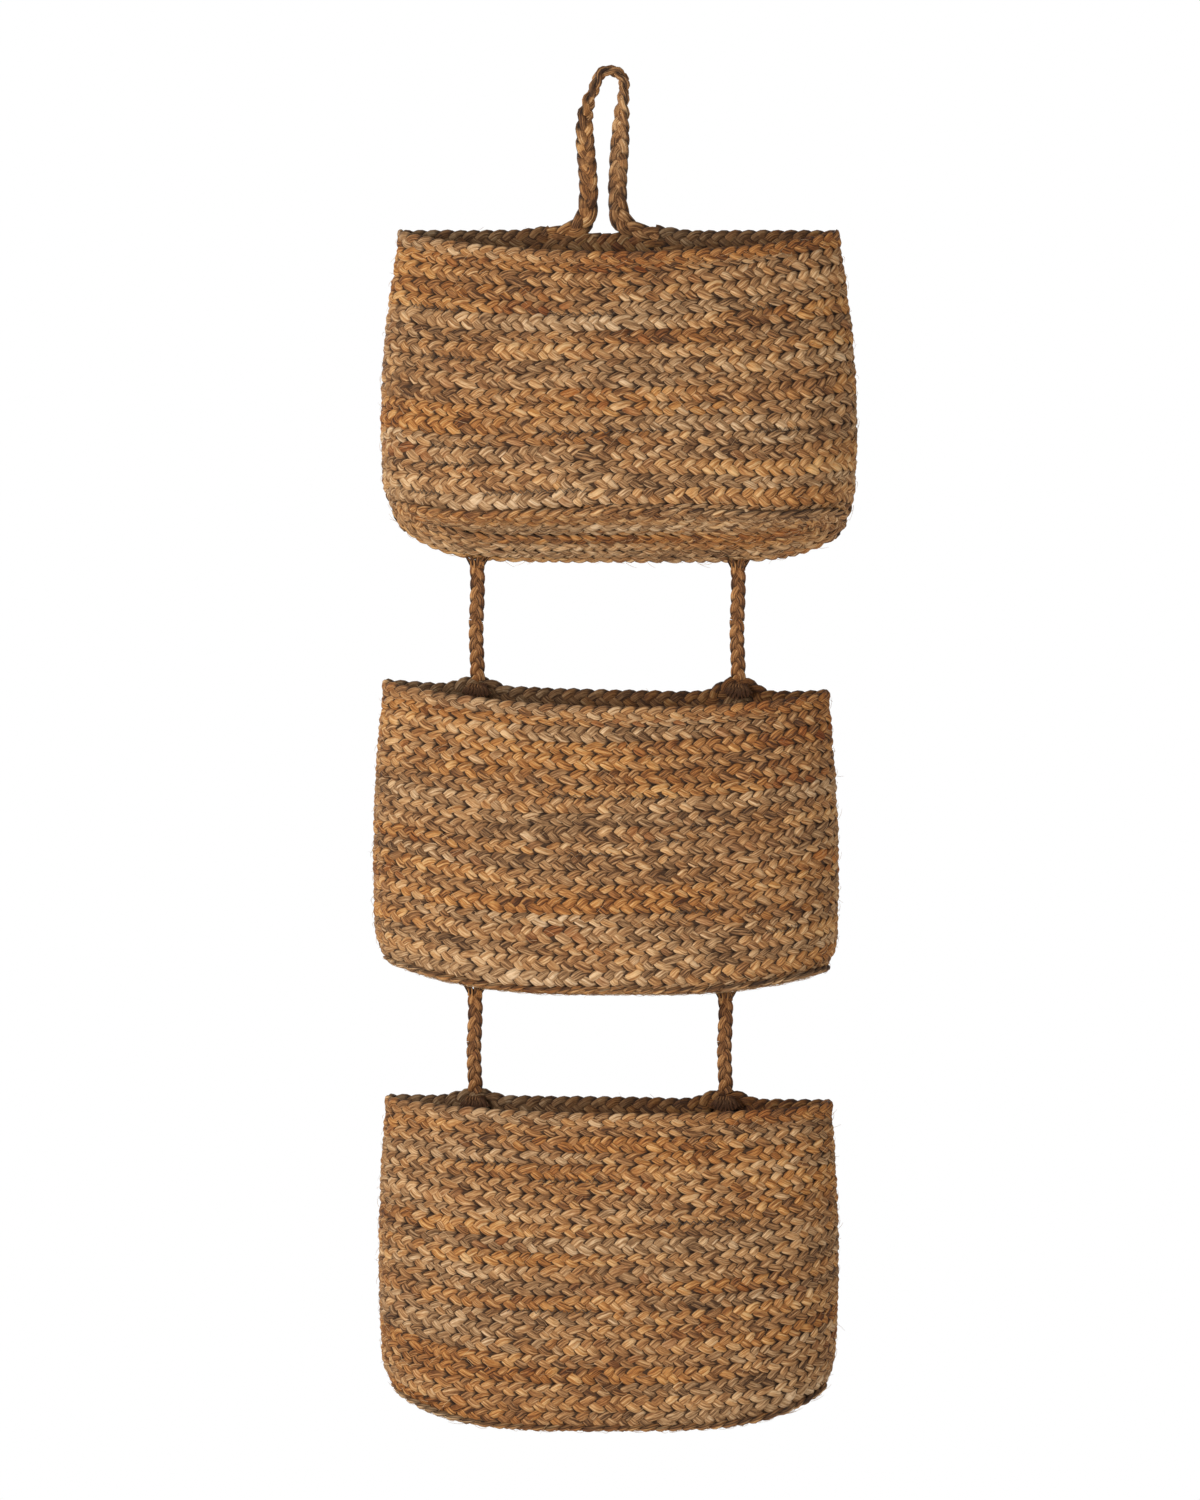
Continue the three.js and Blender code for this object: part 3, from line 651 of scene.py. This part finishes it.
def hairGroup():
    # thin threads and stray fibres: a tube whose thickness each point carries
    tree, given, line = newGroup("Thread along a line", ("Thickness",), "Thread")
    skin = skinned(tree, line, given["Sides"], given["Thickness"], given["Thickness"], read(tree, "spread"))
    return handOver(tree, skin, given, "Thread")


def lineMesh(name, runs):
    # bare lines, whose points carry what the node groups need
    points = [station for run in runs for station in run]
    pairs = []
    first = 0
    for run in runs:
        pairs += [(first + i, first + i + 1) for i in range(len(run) - 1)]
        first += len(run)
    mesh = bpy.data.meshes.new(name)
    mesh.from_pydata([station["point"] * mm for station in points], pairs, [])
    facing = mesh.attributes.new("outward", "FLOAT_VECTOR", "POINT")
    facing.data.foreach_set("vector", [number for station in points for number in station["outward"]])
    for key in ("spread", "start", "lead"):
        values = [station.get(key, 0.0) for station in points]
        mesh.attributes.new(key, "FLOAT", "POINT").data.foreach_set("value", values)
    return mesh


def grow(name, tree, runs, settings, material):
    # what a node group makes of some lines, as a plain mesh object
    source = bpy.data.objects.new(name + "_line", lineMesh(name, runs))
    bpy.context.scene.collection.objects.link(source)
    modifier = source.modifiers.new("grow", "NODES")
    modifier.node_group = tree
    for item in tree.interface.items_tree:
        if item.in_out == "INPUT" and item.name in settings:
            modifier[item.identifier] = settings[item.name]
        if item.name == "Material":
            modifier[item.identifier] = material
    bpy.context.view_layer.update()
    depsgraph = bpy.context.evaluated_depsgraph_get()
    grown = source.evaluated_get(depsgraph)
    mesh = bpy.data.meshes.new_from_object(grown, preserve_all_data_layers=True, depsgraph=depsgraph)
    bpy.data.objects.remove(source)
    mesh.name = name
    mesh.materials.clear()
    mesh.materials.append(material)
    piece = bpy.data.objects.new(name, mesh)
    bpy.context.scene.collection.objects.link(piece)
    return piece


# Jute, in strands of mixed colour

jute = {
    # how pale and how warm it is, and how much each part of the pattern adds to that
    "seed": 1.0, "pale": 0.5, "lobes": 0.34, "streaks": 2.7, "batches": 0.8, "courses": 1.0,
    "warmth": 0.5, "hues": 4.6, "lobeHues": 0.35,
    # batches: how quickly they change along a plait, where their noise starts, how much strands differ
    "toneBatch": (14, 3.3, 0.9), "courseBatch": (3.1, 40.2, 0.05), "hueBatch": (3.6, 8.1, 0.15),
    "russetBatch": (12, 21.7, 0.5),
    # fibres: how fine they are, how quickly they change along a strand, and where their noise starts
    "fineFibres": (1000, 75, 0), "coarseFibres": (1500, 50, 17), "strandsApart": 31,
    # the detail and the roughness of the noise of both, and where on a strand a lobe begins
    "batchNoise": (2.0, 0.5), "fibreNoise": (3.0, 0.65), "lobeStart": 0.25,
    # the noise above which fibres turn russet or dark, how sharply, and how much
    "russetPart": (0.6, 8, 0.75), "darkPart": (0.56, 6, 0.6),
    # how much painted shade darkens a strand along its edges, on a pocket's inner faces, under the next
    # strand and on the core
    "edgeShade": 0.9, "inside": 0.5, "divingShade": 1.1, "shadedCore": 0.92, "edgeSlope": 1300, "faceSlope": 900,
    "bump": 0.9, "relief": 1.3 * mm, "roughness": 0.78, "shine": 0.25,
    "greyColours": [(0.06, 0.027, 0.011), (0.19, 0.092, 0.037), (0.36, 0.195, 0.084), (0.53, 0.32, 0.158),
                    (0.74, 0.51, 0.3)],
    "warmColours": [(0.06, 0.02, 0.006), (0.21, 0.072, 0.018), (0.4, 0.155, 0.038), (0.56, 0.265, 0.078),
                    (0.72, 0.43, 0.18)],
    # one dark colour, for the dark fibres and for all the painted shade
    "russet": (0.62, 0.36, 0.2, 1), "shadeAndDarkFibre": (0.018, 0.008, 0.004, 1),
}
thread = {"colour": (0.03, 0.02, 0.013, 1), "pale": (0.09, 0.06, 0.035, 1), "twist": 300, "detail": 2.0,
          "bump": 0.4, "relief": 0.3 * mm, "roughness": 0.7, "shine": 0.5}


def blended(tree, share, first, second, way="MIX"):
    inputs = {0: share, 6: first, 7: second}
    return addNode(tree, "ShaderNodeMix", inputs, data_type="RGBA", blend_type=way).outputs[2]


def toneRamp(tree, amount, colours):
    ramp = addNode(tree, "ShaderNodeValToRGB", {"Fac": amount})
    stops = ramp.color_ramp.elements
    stops[0].color = (*colours[0], 1)
    stops[1].color = (*colours[-1], 1)
    for i, colour in enumerate(colours[1:-1]):
        stops.new((i + 1) / (len(colours) - 1)).color = (*colour, 1)
    return ramp.outputs[0]


def newMaterial(name):
    material = bpy.data.materials.new(name)
    material.use_nodes = True
    material.node_tree.nodes.clear()
    return material, material.node_tree


def surface(tree, colour, height, look):
    inputs = {"Height": height, "Strength": look["bump"], "Distance": look["relief"]}
    bump = addNode(tree, "ShaderNodeBump", inputs).outputs[0]
    inputs = {"Base Color": colour, "Roughness": look["roughness"], "Specular IOR Level": look["shine"],
              "Normal": bump}
    shader = addNode(tree, "ShaderNodeBsdfPrincipled", inputs).outputs[0]
    addNode(tree, "ShaderNodeOutputMaterial", {"Surface": shader})


def juteMaterial(name, look):
    material, tree = newMaterial(name)

    def carried(attribute, output="Fac"):
        return addNode(tree, "ShaderNodeAttribute", attribute_name=attribute).outputs[output]

    along, strand, lobes = carried("along"), carried("strand"), carried("lobe")
    section = addNode(tree, "ShaderNodeSeparateXYZ", {0: carried("section", "Vector")}).outputs

    def noise(vector, detail, roughness):
        inputs = {"Vector": vector, "Scale": 1.0, "Detail": detail, "Roughness": roughness}
        return addNode(tree, "ShaderNodeTexNoise", inputs).outputs[0]

    def fibres(fineness, run, start):
        y = plus(tree, times(tree, section["Y"], fineness), times(tree, strand, look["strandsApart"]))
        z = plus(tree, times(tree, section["X"], fineness), start)
        return noise(vectorOf(tree, times(tree, along, run), y, z), *look["fibreNoise"])

    def batch(run, start, apart):
        y = plus(tree, times(tree, strand, apart), start)
        return noise(vectorOf(tree, times(tree, along, run), y, look["seed"]), *look["batchNoise"])

    def centred(value, amount):
        return times(tree, minus(tree, value, 0.5), amount)

    def above(value, level, sharpness, strength):
        return times(tree, limited(tree, times(tree, minus(tree, value, level), sharpness)), strength)

    streaks = fibres(*look["fineFibres"])
    turn = maths(tree, "FLOOR", plus(tree, lobes, look["lobeStart"]))
    lobe = addNode(tree, "ShaderNodeTexWhiteNoise", {"Vector": vectorOf(tree, turn, strand, look["seed"])},
                   noise_dimensions="3D").outputs["Value"]
    # how pale a spot is: its lobe, its bundle of fibres and its batch of jute
    tone = plus(tree, centred(lobe, look["lobes"]), centred(streaks, look["streaks"]))
    tone = plus(tree, tone, centred(batch(*look["toneBatch"]), look["batches"]))
    tone = plus(tree, tone, centred(batch(*look["courseBatch"]), look["courses"]))
    tone = plus(tree, tone, look["pale"])
    warmth = plus(tree, centred(batch(*look["hueBatch"]), look["hues"]), centred(lobe, look["lobeHues"]))
    warmth = limited(tree, plus(tree, warmth, look["warmth"]))
    colour = blended(tree, warmth, toneRamp(tree, tone, look["greyColours"]),
                     toneRamp(tree, tone, look["warmColours"]))
    russet = above(batch(*look["russetBatch"]), *look["russetPart"])
    colour = blended(tree, russet, colour, look["russet"], "MULTIPLY")
    colour = blended(tree, above(fibres(*look["coarseFibres"]), *look["darkPart"]), colour, look["shadeAndDarkFibre"])
    # painted shade: darker along a strand's edges, where the lobes meet, and where it dives under the next
    # one, on either face
    rounded = limited(tree, times(tree, maths(tree, "ABSOLUTE", section["X"]), look["edgeSlope"]))
    colour = blended(tree, times(tree, minus(tree, 1.0, rounded), look["edgeShade"]), colour, look["shadeAndDarkFibre"])
    outer = times(tree, section["X"], look["faceSlope"])
    outer = maths(tree, "MAXIMUM", maths(tree, "MINIMUM", outer, 1.0), -1.0)
    # painted shade: a pocket's inner faces are darkened towards the dark colour, standing in for the shade
    # within the pocket
    inside = times(tree, limited(tree, times(tree, outer, -1.0)), look["inside"])
    colour = blended(tree, inside, colour, look["shadeAndDarkFibre"])
    # painted shade where a strand dives under the next one, joined with the painted shade of the core
    under = maths(tree, "SINE", times(tree, lobes, -2 * math.pi))
    paintedShade = limited(tree, times(tree, times(tree, under, outer), look["divingShade"]))
    paintedShade = maths(tree, "MAXIMUM", paintedShade, times(tree, carried("shadedCore"), look["shadedCore"]))
    surface(tree, blended(tree, paintedShade, colour, look["shadeAndDarkFibre"]), streaks, look)
    return material


def threadMaterial():
    material, tree = newMaterial("sewing_thread")
    place = addNode(tree, "ShaderNodeTexCoord").outputs["Object"]
    inputs = {"Vector": place, "Scale": thread["twist"], "Detail": thread["detail"]}
    twist = addNode(tree, "ShaderNodeTexNoise", inputs).outputs[0]
    surface(tree, blended(tree, twist, thread["colour"], thread["pale"]), twist, thread)
    return material


plaitNodes = plaitGroup()
hairNodes = hairGroup()
strawJute = juteMaterial("straw_jute", jute)
strapJute = juteMaterial("strap_jute", dict(jute, pale=0.35, warmth=0.6, courses=0.4, hues=1.5, inside=0.0))
goldenJute = juteMaterial("golden_jute", dict(jute, seed=5.0, pale=0.34, warmth=0.85, courses=0.4, hues=2.5,
                                              inside=0.0))
brownJute = juteMaterial("brown_jute", dict(jute, seed=9.0, pale=0.16, warmth=0.6, inside=0.0))
looseJute = juteMaterial("loose_jute", dict(jute, seed=3.0, pale=0.6, edgeShade=0.0, inside=0.0))
sewingThread = threadMaterial()
print("node groups and materials")


# The pockets

flat = {"Period": 29 * mm, "Swing": 4.4 * mm, "Fullness": 0.0, "Depth": 1.05 * mm, "Strand width": 7.3 * mm,
        "Strand thickness": 3.8 * mm, "Swell": 0.05, "Irregular lobes": 0.6, "Irregular strands": 0.5,
        "Step": 2.35 * mm, "Sides": 8, "Core width": 12.6 * mm, "Core thickness": 3.2 * mm}
edging = dict(flat, **{"Swing": 3.9 * mm, "Irregular lobes": 0.15, "Core width": 9 * mm})
courseLook = dict(flat, **{"Swing": 3.5 * mm, "Fullness": -0.35, "Depth": 0.9 * mm, "Strand width": 5.5 * mm,
                           "Swell": 0.16, "Strand thickness": 3.3 * mm, "Core width": 10.3 * mm,
                           "Core thickness": 2.6 * mm})
sole = dict(courseLook, **{"Core width": 7.4 * mm})
strayFibre = {"Thickness": 0.34 * mm, "Sides": 3}
# one fibre for about each so many metres of plait, and fewer below the floor
stray = {"each": 0.015, "fewerBelow": 3, "unevenShares": (0.5, 1.5), "splay": 1.2, "sunk": 0.5, "aside": 4,
         "shortest": 4, "longest": 12, "lift": 1.8, "leastShare": 0.3, "curlShare": 0.35, "rootShare": 0.15,
         "taper": 0.6, "points": 5, "clear": 1.5}
stitch = {"Thickness": 0.65 * mm, "Sides": 4}
# patches of stitches, so many points of a course long, where the course faces forwards or back
sewing = {"patches": 30, "shortest": 4, "longest": 15, "reach": 1.7, "unevenShares": (0.7, 1.2), "sunk": 0.3,
          "facing": 0.75}


def finished(piece, body, slot, *nodes):
    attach(piece, body)
    if nodes:
        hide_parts(*nodes)
    return piece


def strayFibres(runs, each):
    # short loose fibres that leave a plait's face
    fibres = []
    for run in runs:
        travelled = 0
        for a, b in zip(run, run[1:]):
            travelled += (b["point"] - a["point"]).length * mm
            if travelled < each * chance.uniform(*stray["unevenShares"]):
                continue
            travelled = 0
            along = (b["point"] - a["point"]).normalized()
            across = a["outward"].cross(along)
            splay = chance.choice((-1, 1)), chance.uniform(-stray["splay"], stray["splay"])
            heading = (along * splay[0] + across * splay[1]).normalized()
            face = a["outward"] * (a["face"] - stray["sunk"])
            start = a["point"] + face + across * chance.uniform(-stray["aside"], stray["aside"]) * a["spread"]
            reach = chance.uniform(stray["shortest"], stray["longest"])
            lift = chance.uniform(stray["leastShare"], 1) * stray["lift"]
            curl = chance.uniform(-stray["curlShare"], stray["curlShare"]) * reach
            fibre = []
            for k in range(stray["points"]):
                t = k / (stray["points"] - 1)
                bow = math.sin(math.pi * mix(stray["rootShare"], 1 - stray["rootShare"], t))
                point = start + heading * reach * t + across * curl * t * t + a["outward"] * lift * bow
                point.y = min(point.y, form["wallPlane"] + stray["clear"])
                fibre.append({"point": point, "outward": across, "spread": 1 - stray["taper"] * t})
            fibres.append(fibre)
    return fibres


def sewingThreads(run):
    # dark zigzag stitches in the groove below a course, where they come to the surface
    threads = []
    for _ in range(sewing["patches"]):
        first = chance.randrange(len(run) - sewing["longest"] - 1)
        last = first + chance.randint(sewing["shortest"], sewing["longest"])
        if any(abs(station["outward"].y) < sewing["facing"] for station in run[first: last]):
            continue
        seam = []
        for a, b in zip(run[first: last], run[first + 1: last + 1]):
            across = a["outward"].cross((b["point"] - a["point"]).normalized())
            face = a["outward"] * (a["face"] - sewing["sunk"])
            edge = plait["course"] / 2 * a["spread"]
            for share, way in ((0, -1), (0.5, 1)):
                out = edge + way * sewing["reach"] * chance.uniform(*sewing["unevenShares"])
                point = a["point"].lerp(b["point"], share) + face + across * out
                seam.append({"point": point, "outward": across, "spread": 1.0})
        threads.append(seam)
    return threads


def continued(runs):
    # each run of one plait takes up the pattern where the last one left it
    travelled = 0
    for run in runs:
        for station in run:
            station["start"] = travelled
        travelled += lengthOf(run)
    return runs


def borderLine(pocket):
    # the rim's course: a closed ring, or from foot to foot of the loop round the top pocket
    around = [rimStation(pocket, side, turn) for side, turn in placesAround()]
    if pocket["name"] != "top":
        around = [*around, dict(around[0])]
        turns = lengthOf(around) / edging["Period"]
        return withLead(around, round(turns) - turns)
    reach = loop["footRun"]
    between = [i for i, station in enumerate(around)
               if station["outward"] == back and abs(station["point"].x - form["footShift"]) < reach]
    # its ends go on a little under the loop's feet
    lapped = reach - loop["lap"]
    ends = [rimStation(pocket, "back", backTurn(pocket, side, run))
            for side, run in ((-1, lapped), (-1, reach), (1, reach), (1, lapped))]
    line = [*ends[:2], *around[between[-1] + 1:], *around[: between[0]], *ends[2:]]
    for station in line:
        station["start"] = -loop["lap"] * mm
    return line


def backTurn(pocket, side, run):
    # a place beside the loop, as a share of the back from right to left
    straight = pocket["mouthWidth"] / 2 - form["foldRadius"]
    x = form["footShift"] + side * run
    return (straight - (x - pocket["shift"])) / (2 * straight)


def makePocket(pocket):
    body = pocket["name"] + "_basket"
    runs = wallCoil(pocket)
    long = max(runs, key=len)
    half = len(long) // 2
    lower, upper = long[: half + 1], [dict(station) for station in long[half:]]
    continued([lower, upper])
    rest = [run for run in runs if run is not long] + shortCourses(pocket)
    bottomPart = grow(body + "_wall_lower", plaitNodes, [lower, *rest], courseLook, strawJute)
    topPart = grow(body + "_wall_upper", plaitNodes, [upper], courseLook, strawJute)
    finished(bottomPart, body, "wall_plait")
    finished(topPart, body, "wall_plait", body + "_wall")
    floorLine = floorCoil(pocket)
    floor = grow(body + "_floor", plaitNodes, [floorLine], sole, strawJute)
    finished(floor, body, "floor_plait", body + "_base")
    around = borderLine(pocket)
    rim = grow(body + "_border", plaitNodes, [around], edging, strawJute)
    finished(rim, body, "rim_plait", body + "_rim")
    fibres = strayFibres([long, *rest, around], stray["each"])
    fibres += strayFibres([floorLine], stray["each"] / stray["fewerBelow"])
    finished(grow(body + "_stray_fibres", hairNodes, fibres, strayFibre, looseJute), body, "wall_plait")
    threads = grow(body + "_sewing_thread", hairNodes, sewingThreads(long), stitch, sewingThread)
    finished(threads, body, "wall_plait")
    print(body, coursesIn(pocket), "courses,", len(fibres), "stray fibres,",
          [len(piece.data.polygons) for piece in (bottomPart, topPart, floor, rim)], "faces")


for pocket in pockets:
    makePocket(pocket)


# The loop: the top pocket's border goes on over the hook and comes back to it

strap = dict(edging, **{"Swing": 2.5 * mm, "Fullness": 0.4, "Depth": 1.3 * mm, "Strand width": 6.7 * mm,
                        "Strand thickness": 4.6 * mm, "Core width": 6.4 * mm, "Irregular strands": 0.25})
looseness = 1.15  # the loop's pattern is that much longer than the border's


def smoothLine(points, count):
    # a smooth curve through all the points, in so many steps
    line = []
    for i in range(count + 1):
        place = i / count * (len(points) - 1)
        k = min(int(place), len(points) - 2)
        t = place - k
        a, b, c, d = (points[min(max(j, 0), len(points) - 1)] for j in (k - 1, k, k + 1, k + 2))
        line.append(0.5 * (2 * b + (c - a) * t + (2 * a - 5 * b + 4 * c - d) * t * t
                           + (3 * b - a - 3 * c + d) * t * t * t))
    return line


def loopLine():
    radius = (loop["eye"] + loop["thickness"]) / 2
    shift = form["footShift"]

    def leg(side, spread, z):
        return Vector((shift + side * spread / 2, 0, z))

    def foot(side):
        # a curve that leaves the border along it and ends straight up
        start = rimStation(pockets[0], "back", backTurn(pockets[0], side, loop["footRun"]))["point"]
        start.y = 0
        end = leg(side, loop["footSpread"], -loop["drop"])
        a = start - Vector((side * loop["footOut"], 0, -loop["footSink"]))
        b = end - up * loop["footUp"]
        shares = [i / loop["footPoints"] for i in range(loop["footPoints"])]
        return [start * (1 - t) ** 3 + a * 3 * t * (1 - t) ** 2 + b * 3 * t * t * (1 - t) + end * t**3
                for t in shares]

    def half(side):
        return [*foot(side), leg(side, loop["footSpread"], -loop["drop"]),
                leg(side, loop["footSpread"], -loop["drop"] * loop["straightShare"]),
                leg(side, loop["legSpread"], -loop["drop"] * loop["widestShare"])]

    angles = [quarter * math.pi / 2 for quarter in (-1, -0.5, 0, 0.5, 1)]
    arc = [Vector((radius * math.sin(a), 0, radius * math.cos(a) - loop["eye"] / 2)) for a in angles]
    line = smoothLine([*half(1), *arc[::-1], *half(-1)[::-1]], loop["points"])
    stations = []
    for i, point in enumerate(line):
        along = (line[min(i + 1, len(line) - 1)] - line[max(i - 1, 0)]).normalized()
        # over the hook the strap lies flat, and further down it turns its side to the wall
        twist = math.pi / 2 * ease(-point.z / (loop["drop"] * loop["twistShare"]))
        outward = back.cross(along).normalized() * math.cos(twist) + back * math.sin(twist)
        reach = (loop["width"] * math.cos(twist) + loop["thickness"] * math.sin(twist)) / 2
        below = -point.z - loop["drop"]
        width = mix(loop["width"], loop["footWidth"], ease(below / loop["bend"]))
        aside = abs(point.x - form["footShift"]) - loop["footSpread"] / 2
        width = mix(width, plait["width"], ease(aside / (loop["footRun"] - loop["footSpread"] / 2)))
        stations.append({"point": Vector((point.x, form["wallPlane"] - reach, point.z)),
                         "outward": outward.normalized(), "spread": width / plait["width"]})
    return stations


loopPath = loopLine()
borderLength = lengthOf(borderLine(pockets[0])) - 2 * loop["lap"] * mm
turnsBefore = borderLength / strap["Period"]
turnsHere = lengthOf(loopPath) / strap["Period"]
whole = round(turnsBefore + turnsHere / looseness)
withLead(loopPath, whole - turnsBefore - turnsHere)
for station in loopPath:
    station["start"] = borderLength
loopPiece = grow("loop", plaitNodes, [loopPath], strap, strapJute)
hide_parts("hanging_loop")
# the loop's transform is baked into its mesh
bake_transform(loopPiece)
print("loop", round(lengthOf(loopPath), 3), "m")


# The link cords: round plaits whose lower ends go in behind the rim's arch, where they are sewn in

cord = {"Period": 27 * mm, "Swing": 2.7 * mm, "Fullness": 0.2, "Depth": 1.3 * mm, "Strand width": 5.8 * mm,
        "Strand thickness": 4.6 * mm, "Swell": 0.05, "Irregular lobes": 0.15, "Irregular strands": 0.25,
        "Step": 1.9 * mm, "Sides": 10, "Core width": 4 * mm, "Core thickness": 3.6 * mm}
linkForm = {"depth": 5.0, "into": 9.0, "tucked": 4.5, "behind": 1.8, "bend": 9.0, "points": 40,
            "settling": 8, "waver": 0.5, "waverPoints": 5}


def linkLine(x, y, top, bottom):
    # almost straight, and its lower end goes in behind the rim's arch
    line = []
    for i in range(linkForm["points"] + 1):
        settled = (i - linkForm["points"]) / linkForm["settling"] + 1
        aside = linkForm["waver"] * math.sin(i / linkForm["waverPoints"])
        point = Vector((x + aside, y + linkForm["behind"] * ease(settled),
                        mix(top, bottom, i / linkForm["points"])))
        line.append({"point": point, "outward": -back, "spread": 1.0})
    return line


def makeLinks():
    y = form["wallPlane"] - linkForm["depth"]
    half, bend = linkForm["points"] // 2, linkForm["bend"]
    for level, link in enumerate(links):
        top, bottom = link["top"], link["bottom"]
        for side in ("left", "right"):
            line = linkLine(link[side], y, top + linkForm["into"], bottom - linkForm["tucked"])
            halves = continued([line[: half + 1], [dict(station) for station in line[half:]]])
            name = f"{link['name']}_link_{side}"
            high = grow(name + "_plait_high", plaitNodes, [halves[0]], cord, goldenJute)
            low = grow(name + "_plait_low", plaitNodes, [halves[1]], cord, goldenJute)
            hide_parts(name)
            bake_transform(high)
            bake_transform(low)


makeLinks()
print("links")


# Their ends: loose strands that spread out where they are sewn down

endStrand = {"Period": 34 * mm, "Swing": 0.8 * mm, "Fullness": 0.0, "Depth": 0.5 * mm,
             "Strand width": 2.2 * mm, "Strand thickness": 1.8 * mm, "Swell": 0.0,
             "Irregular lobes": 0.5, "Irregular strands": 0.8, "Step": 2.2 * mm, "Sides": 6,
             "Core width": 1 * mm, "Core thickness": 1 * mm}
head = {"strands": 11, "neck": 4.2, "foot": 9, "below": 4.5, "above": 3.4, "flatness": 0.6, "turned": 0.3,
        "points": 6, "flare": 2.8, "uneven": 0.12, "apart": 4.7, "clear": 1, "taper": 0.3}
tail = {"strands": 15, "neck": 5, "foot": 11, "above": -5.5, "below": 3.5, "front": -1.2, "points": 7,
        "flare": 1.4, "quickly": 2.5, "wave": 0.6, "waves": 6, "apart": 2.3, "layer": 0.7,
        "shorterAside": 0.45, "root": 1.1, "taper": 0.6}


def headLines(x, y, low, high):
    # round the cord like a trumpet, wider where it meets the floor
    runs = []
    for i in range(head["strands"]):
        angle = 2 * math.pi * i / head["strands"] + head["turned"]
        turn = Vector((math.cos(angle), math.sin(angle) * head["flatness"], 0))
        uneven = 1 + head["uneven"] * math.sin(i * head["apart"])
        run = []
        for k in range(head["points"] + 1):
            t = k / head["points"]
            radius = mix(head["neck"], head["foot"], t ** head["flare"]) * uneven
            point = Vector((x, y, mix(low, high, t))) + turn * radius
            point.y = min(point.y, form["wallPlane"] - head["clear"])
            run.append({"point": point, "outward": turn.normalized(), "spread": 1 - head["taper"] * t})
        runs.append(run)
    return runs


def tailLines(x, y, high, low):
    # down over the inner face of the rim, the strands at its sides shorter and every other one in front
    runs = []
    for i in range(tail["strands"]):
        share = (i + 0.5) / tail["strands"] * 2 - 1
        run = []
        for k in range(tail["points"] + 1):
            t = k / tail["points"]
            out = mix(tail["neck"], tail["foot"], t ** tail["flare"])
            forward = mix(0, y - tail["front"], ease(t * tail["quickly"]))
            wave = tail["wave"] * math.sin(tail["waves"] * t + i * tail["apart"])
            z = mix(high, low, t * (1 - tail["shorterAside"] * share * share))
            point = Vector((x + share * out + wave, y - forward - tail["layer"] * (i % 2), z))
            run.append({"point": point, "outward": -back, "spread": tail["root"] - tail["taper"] * t})
        runs.append(run)
    return runs


def makeEnds():
    bodies = ["top_basket", "middle_basket", "bottom_basket"]
    y = form["wallPlane"] - linkForm["depth"]
    for level, link in enumerate(links):
        above, below = pockets[level: level + 2]
        for side in ("left", "right"):
            x = link[side]
            underside = floorHeight(above, x, y) - plait["thickness"]
            lines = headLines(x, y, underside - head["below"], underside + head["above"])
            piece = grow(f"{link['name']}_sewn_head_{side}", plaitNodes, lines, endStrand, goldenJute)
            finished(piece, bodies[level], "stitched_end", f"{link['name']}_head_{side}")
            crest = below["rimTop"] + form["archRise"]
            lines = tailLines(x, y, crest + tail["above"], crest - plait["width"] - tail["below"])
            piece = grow(f"{link['name']}_sewn_tail_{side}", plaitNodes, lines, endStrand, brownJute)
            finished(piece, bodies[level + 1], "stitched_end", f"{link['name']}_tail_{side}")


makeEnds()
print("sewn ends")
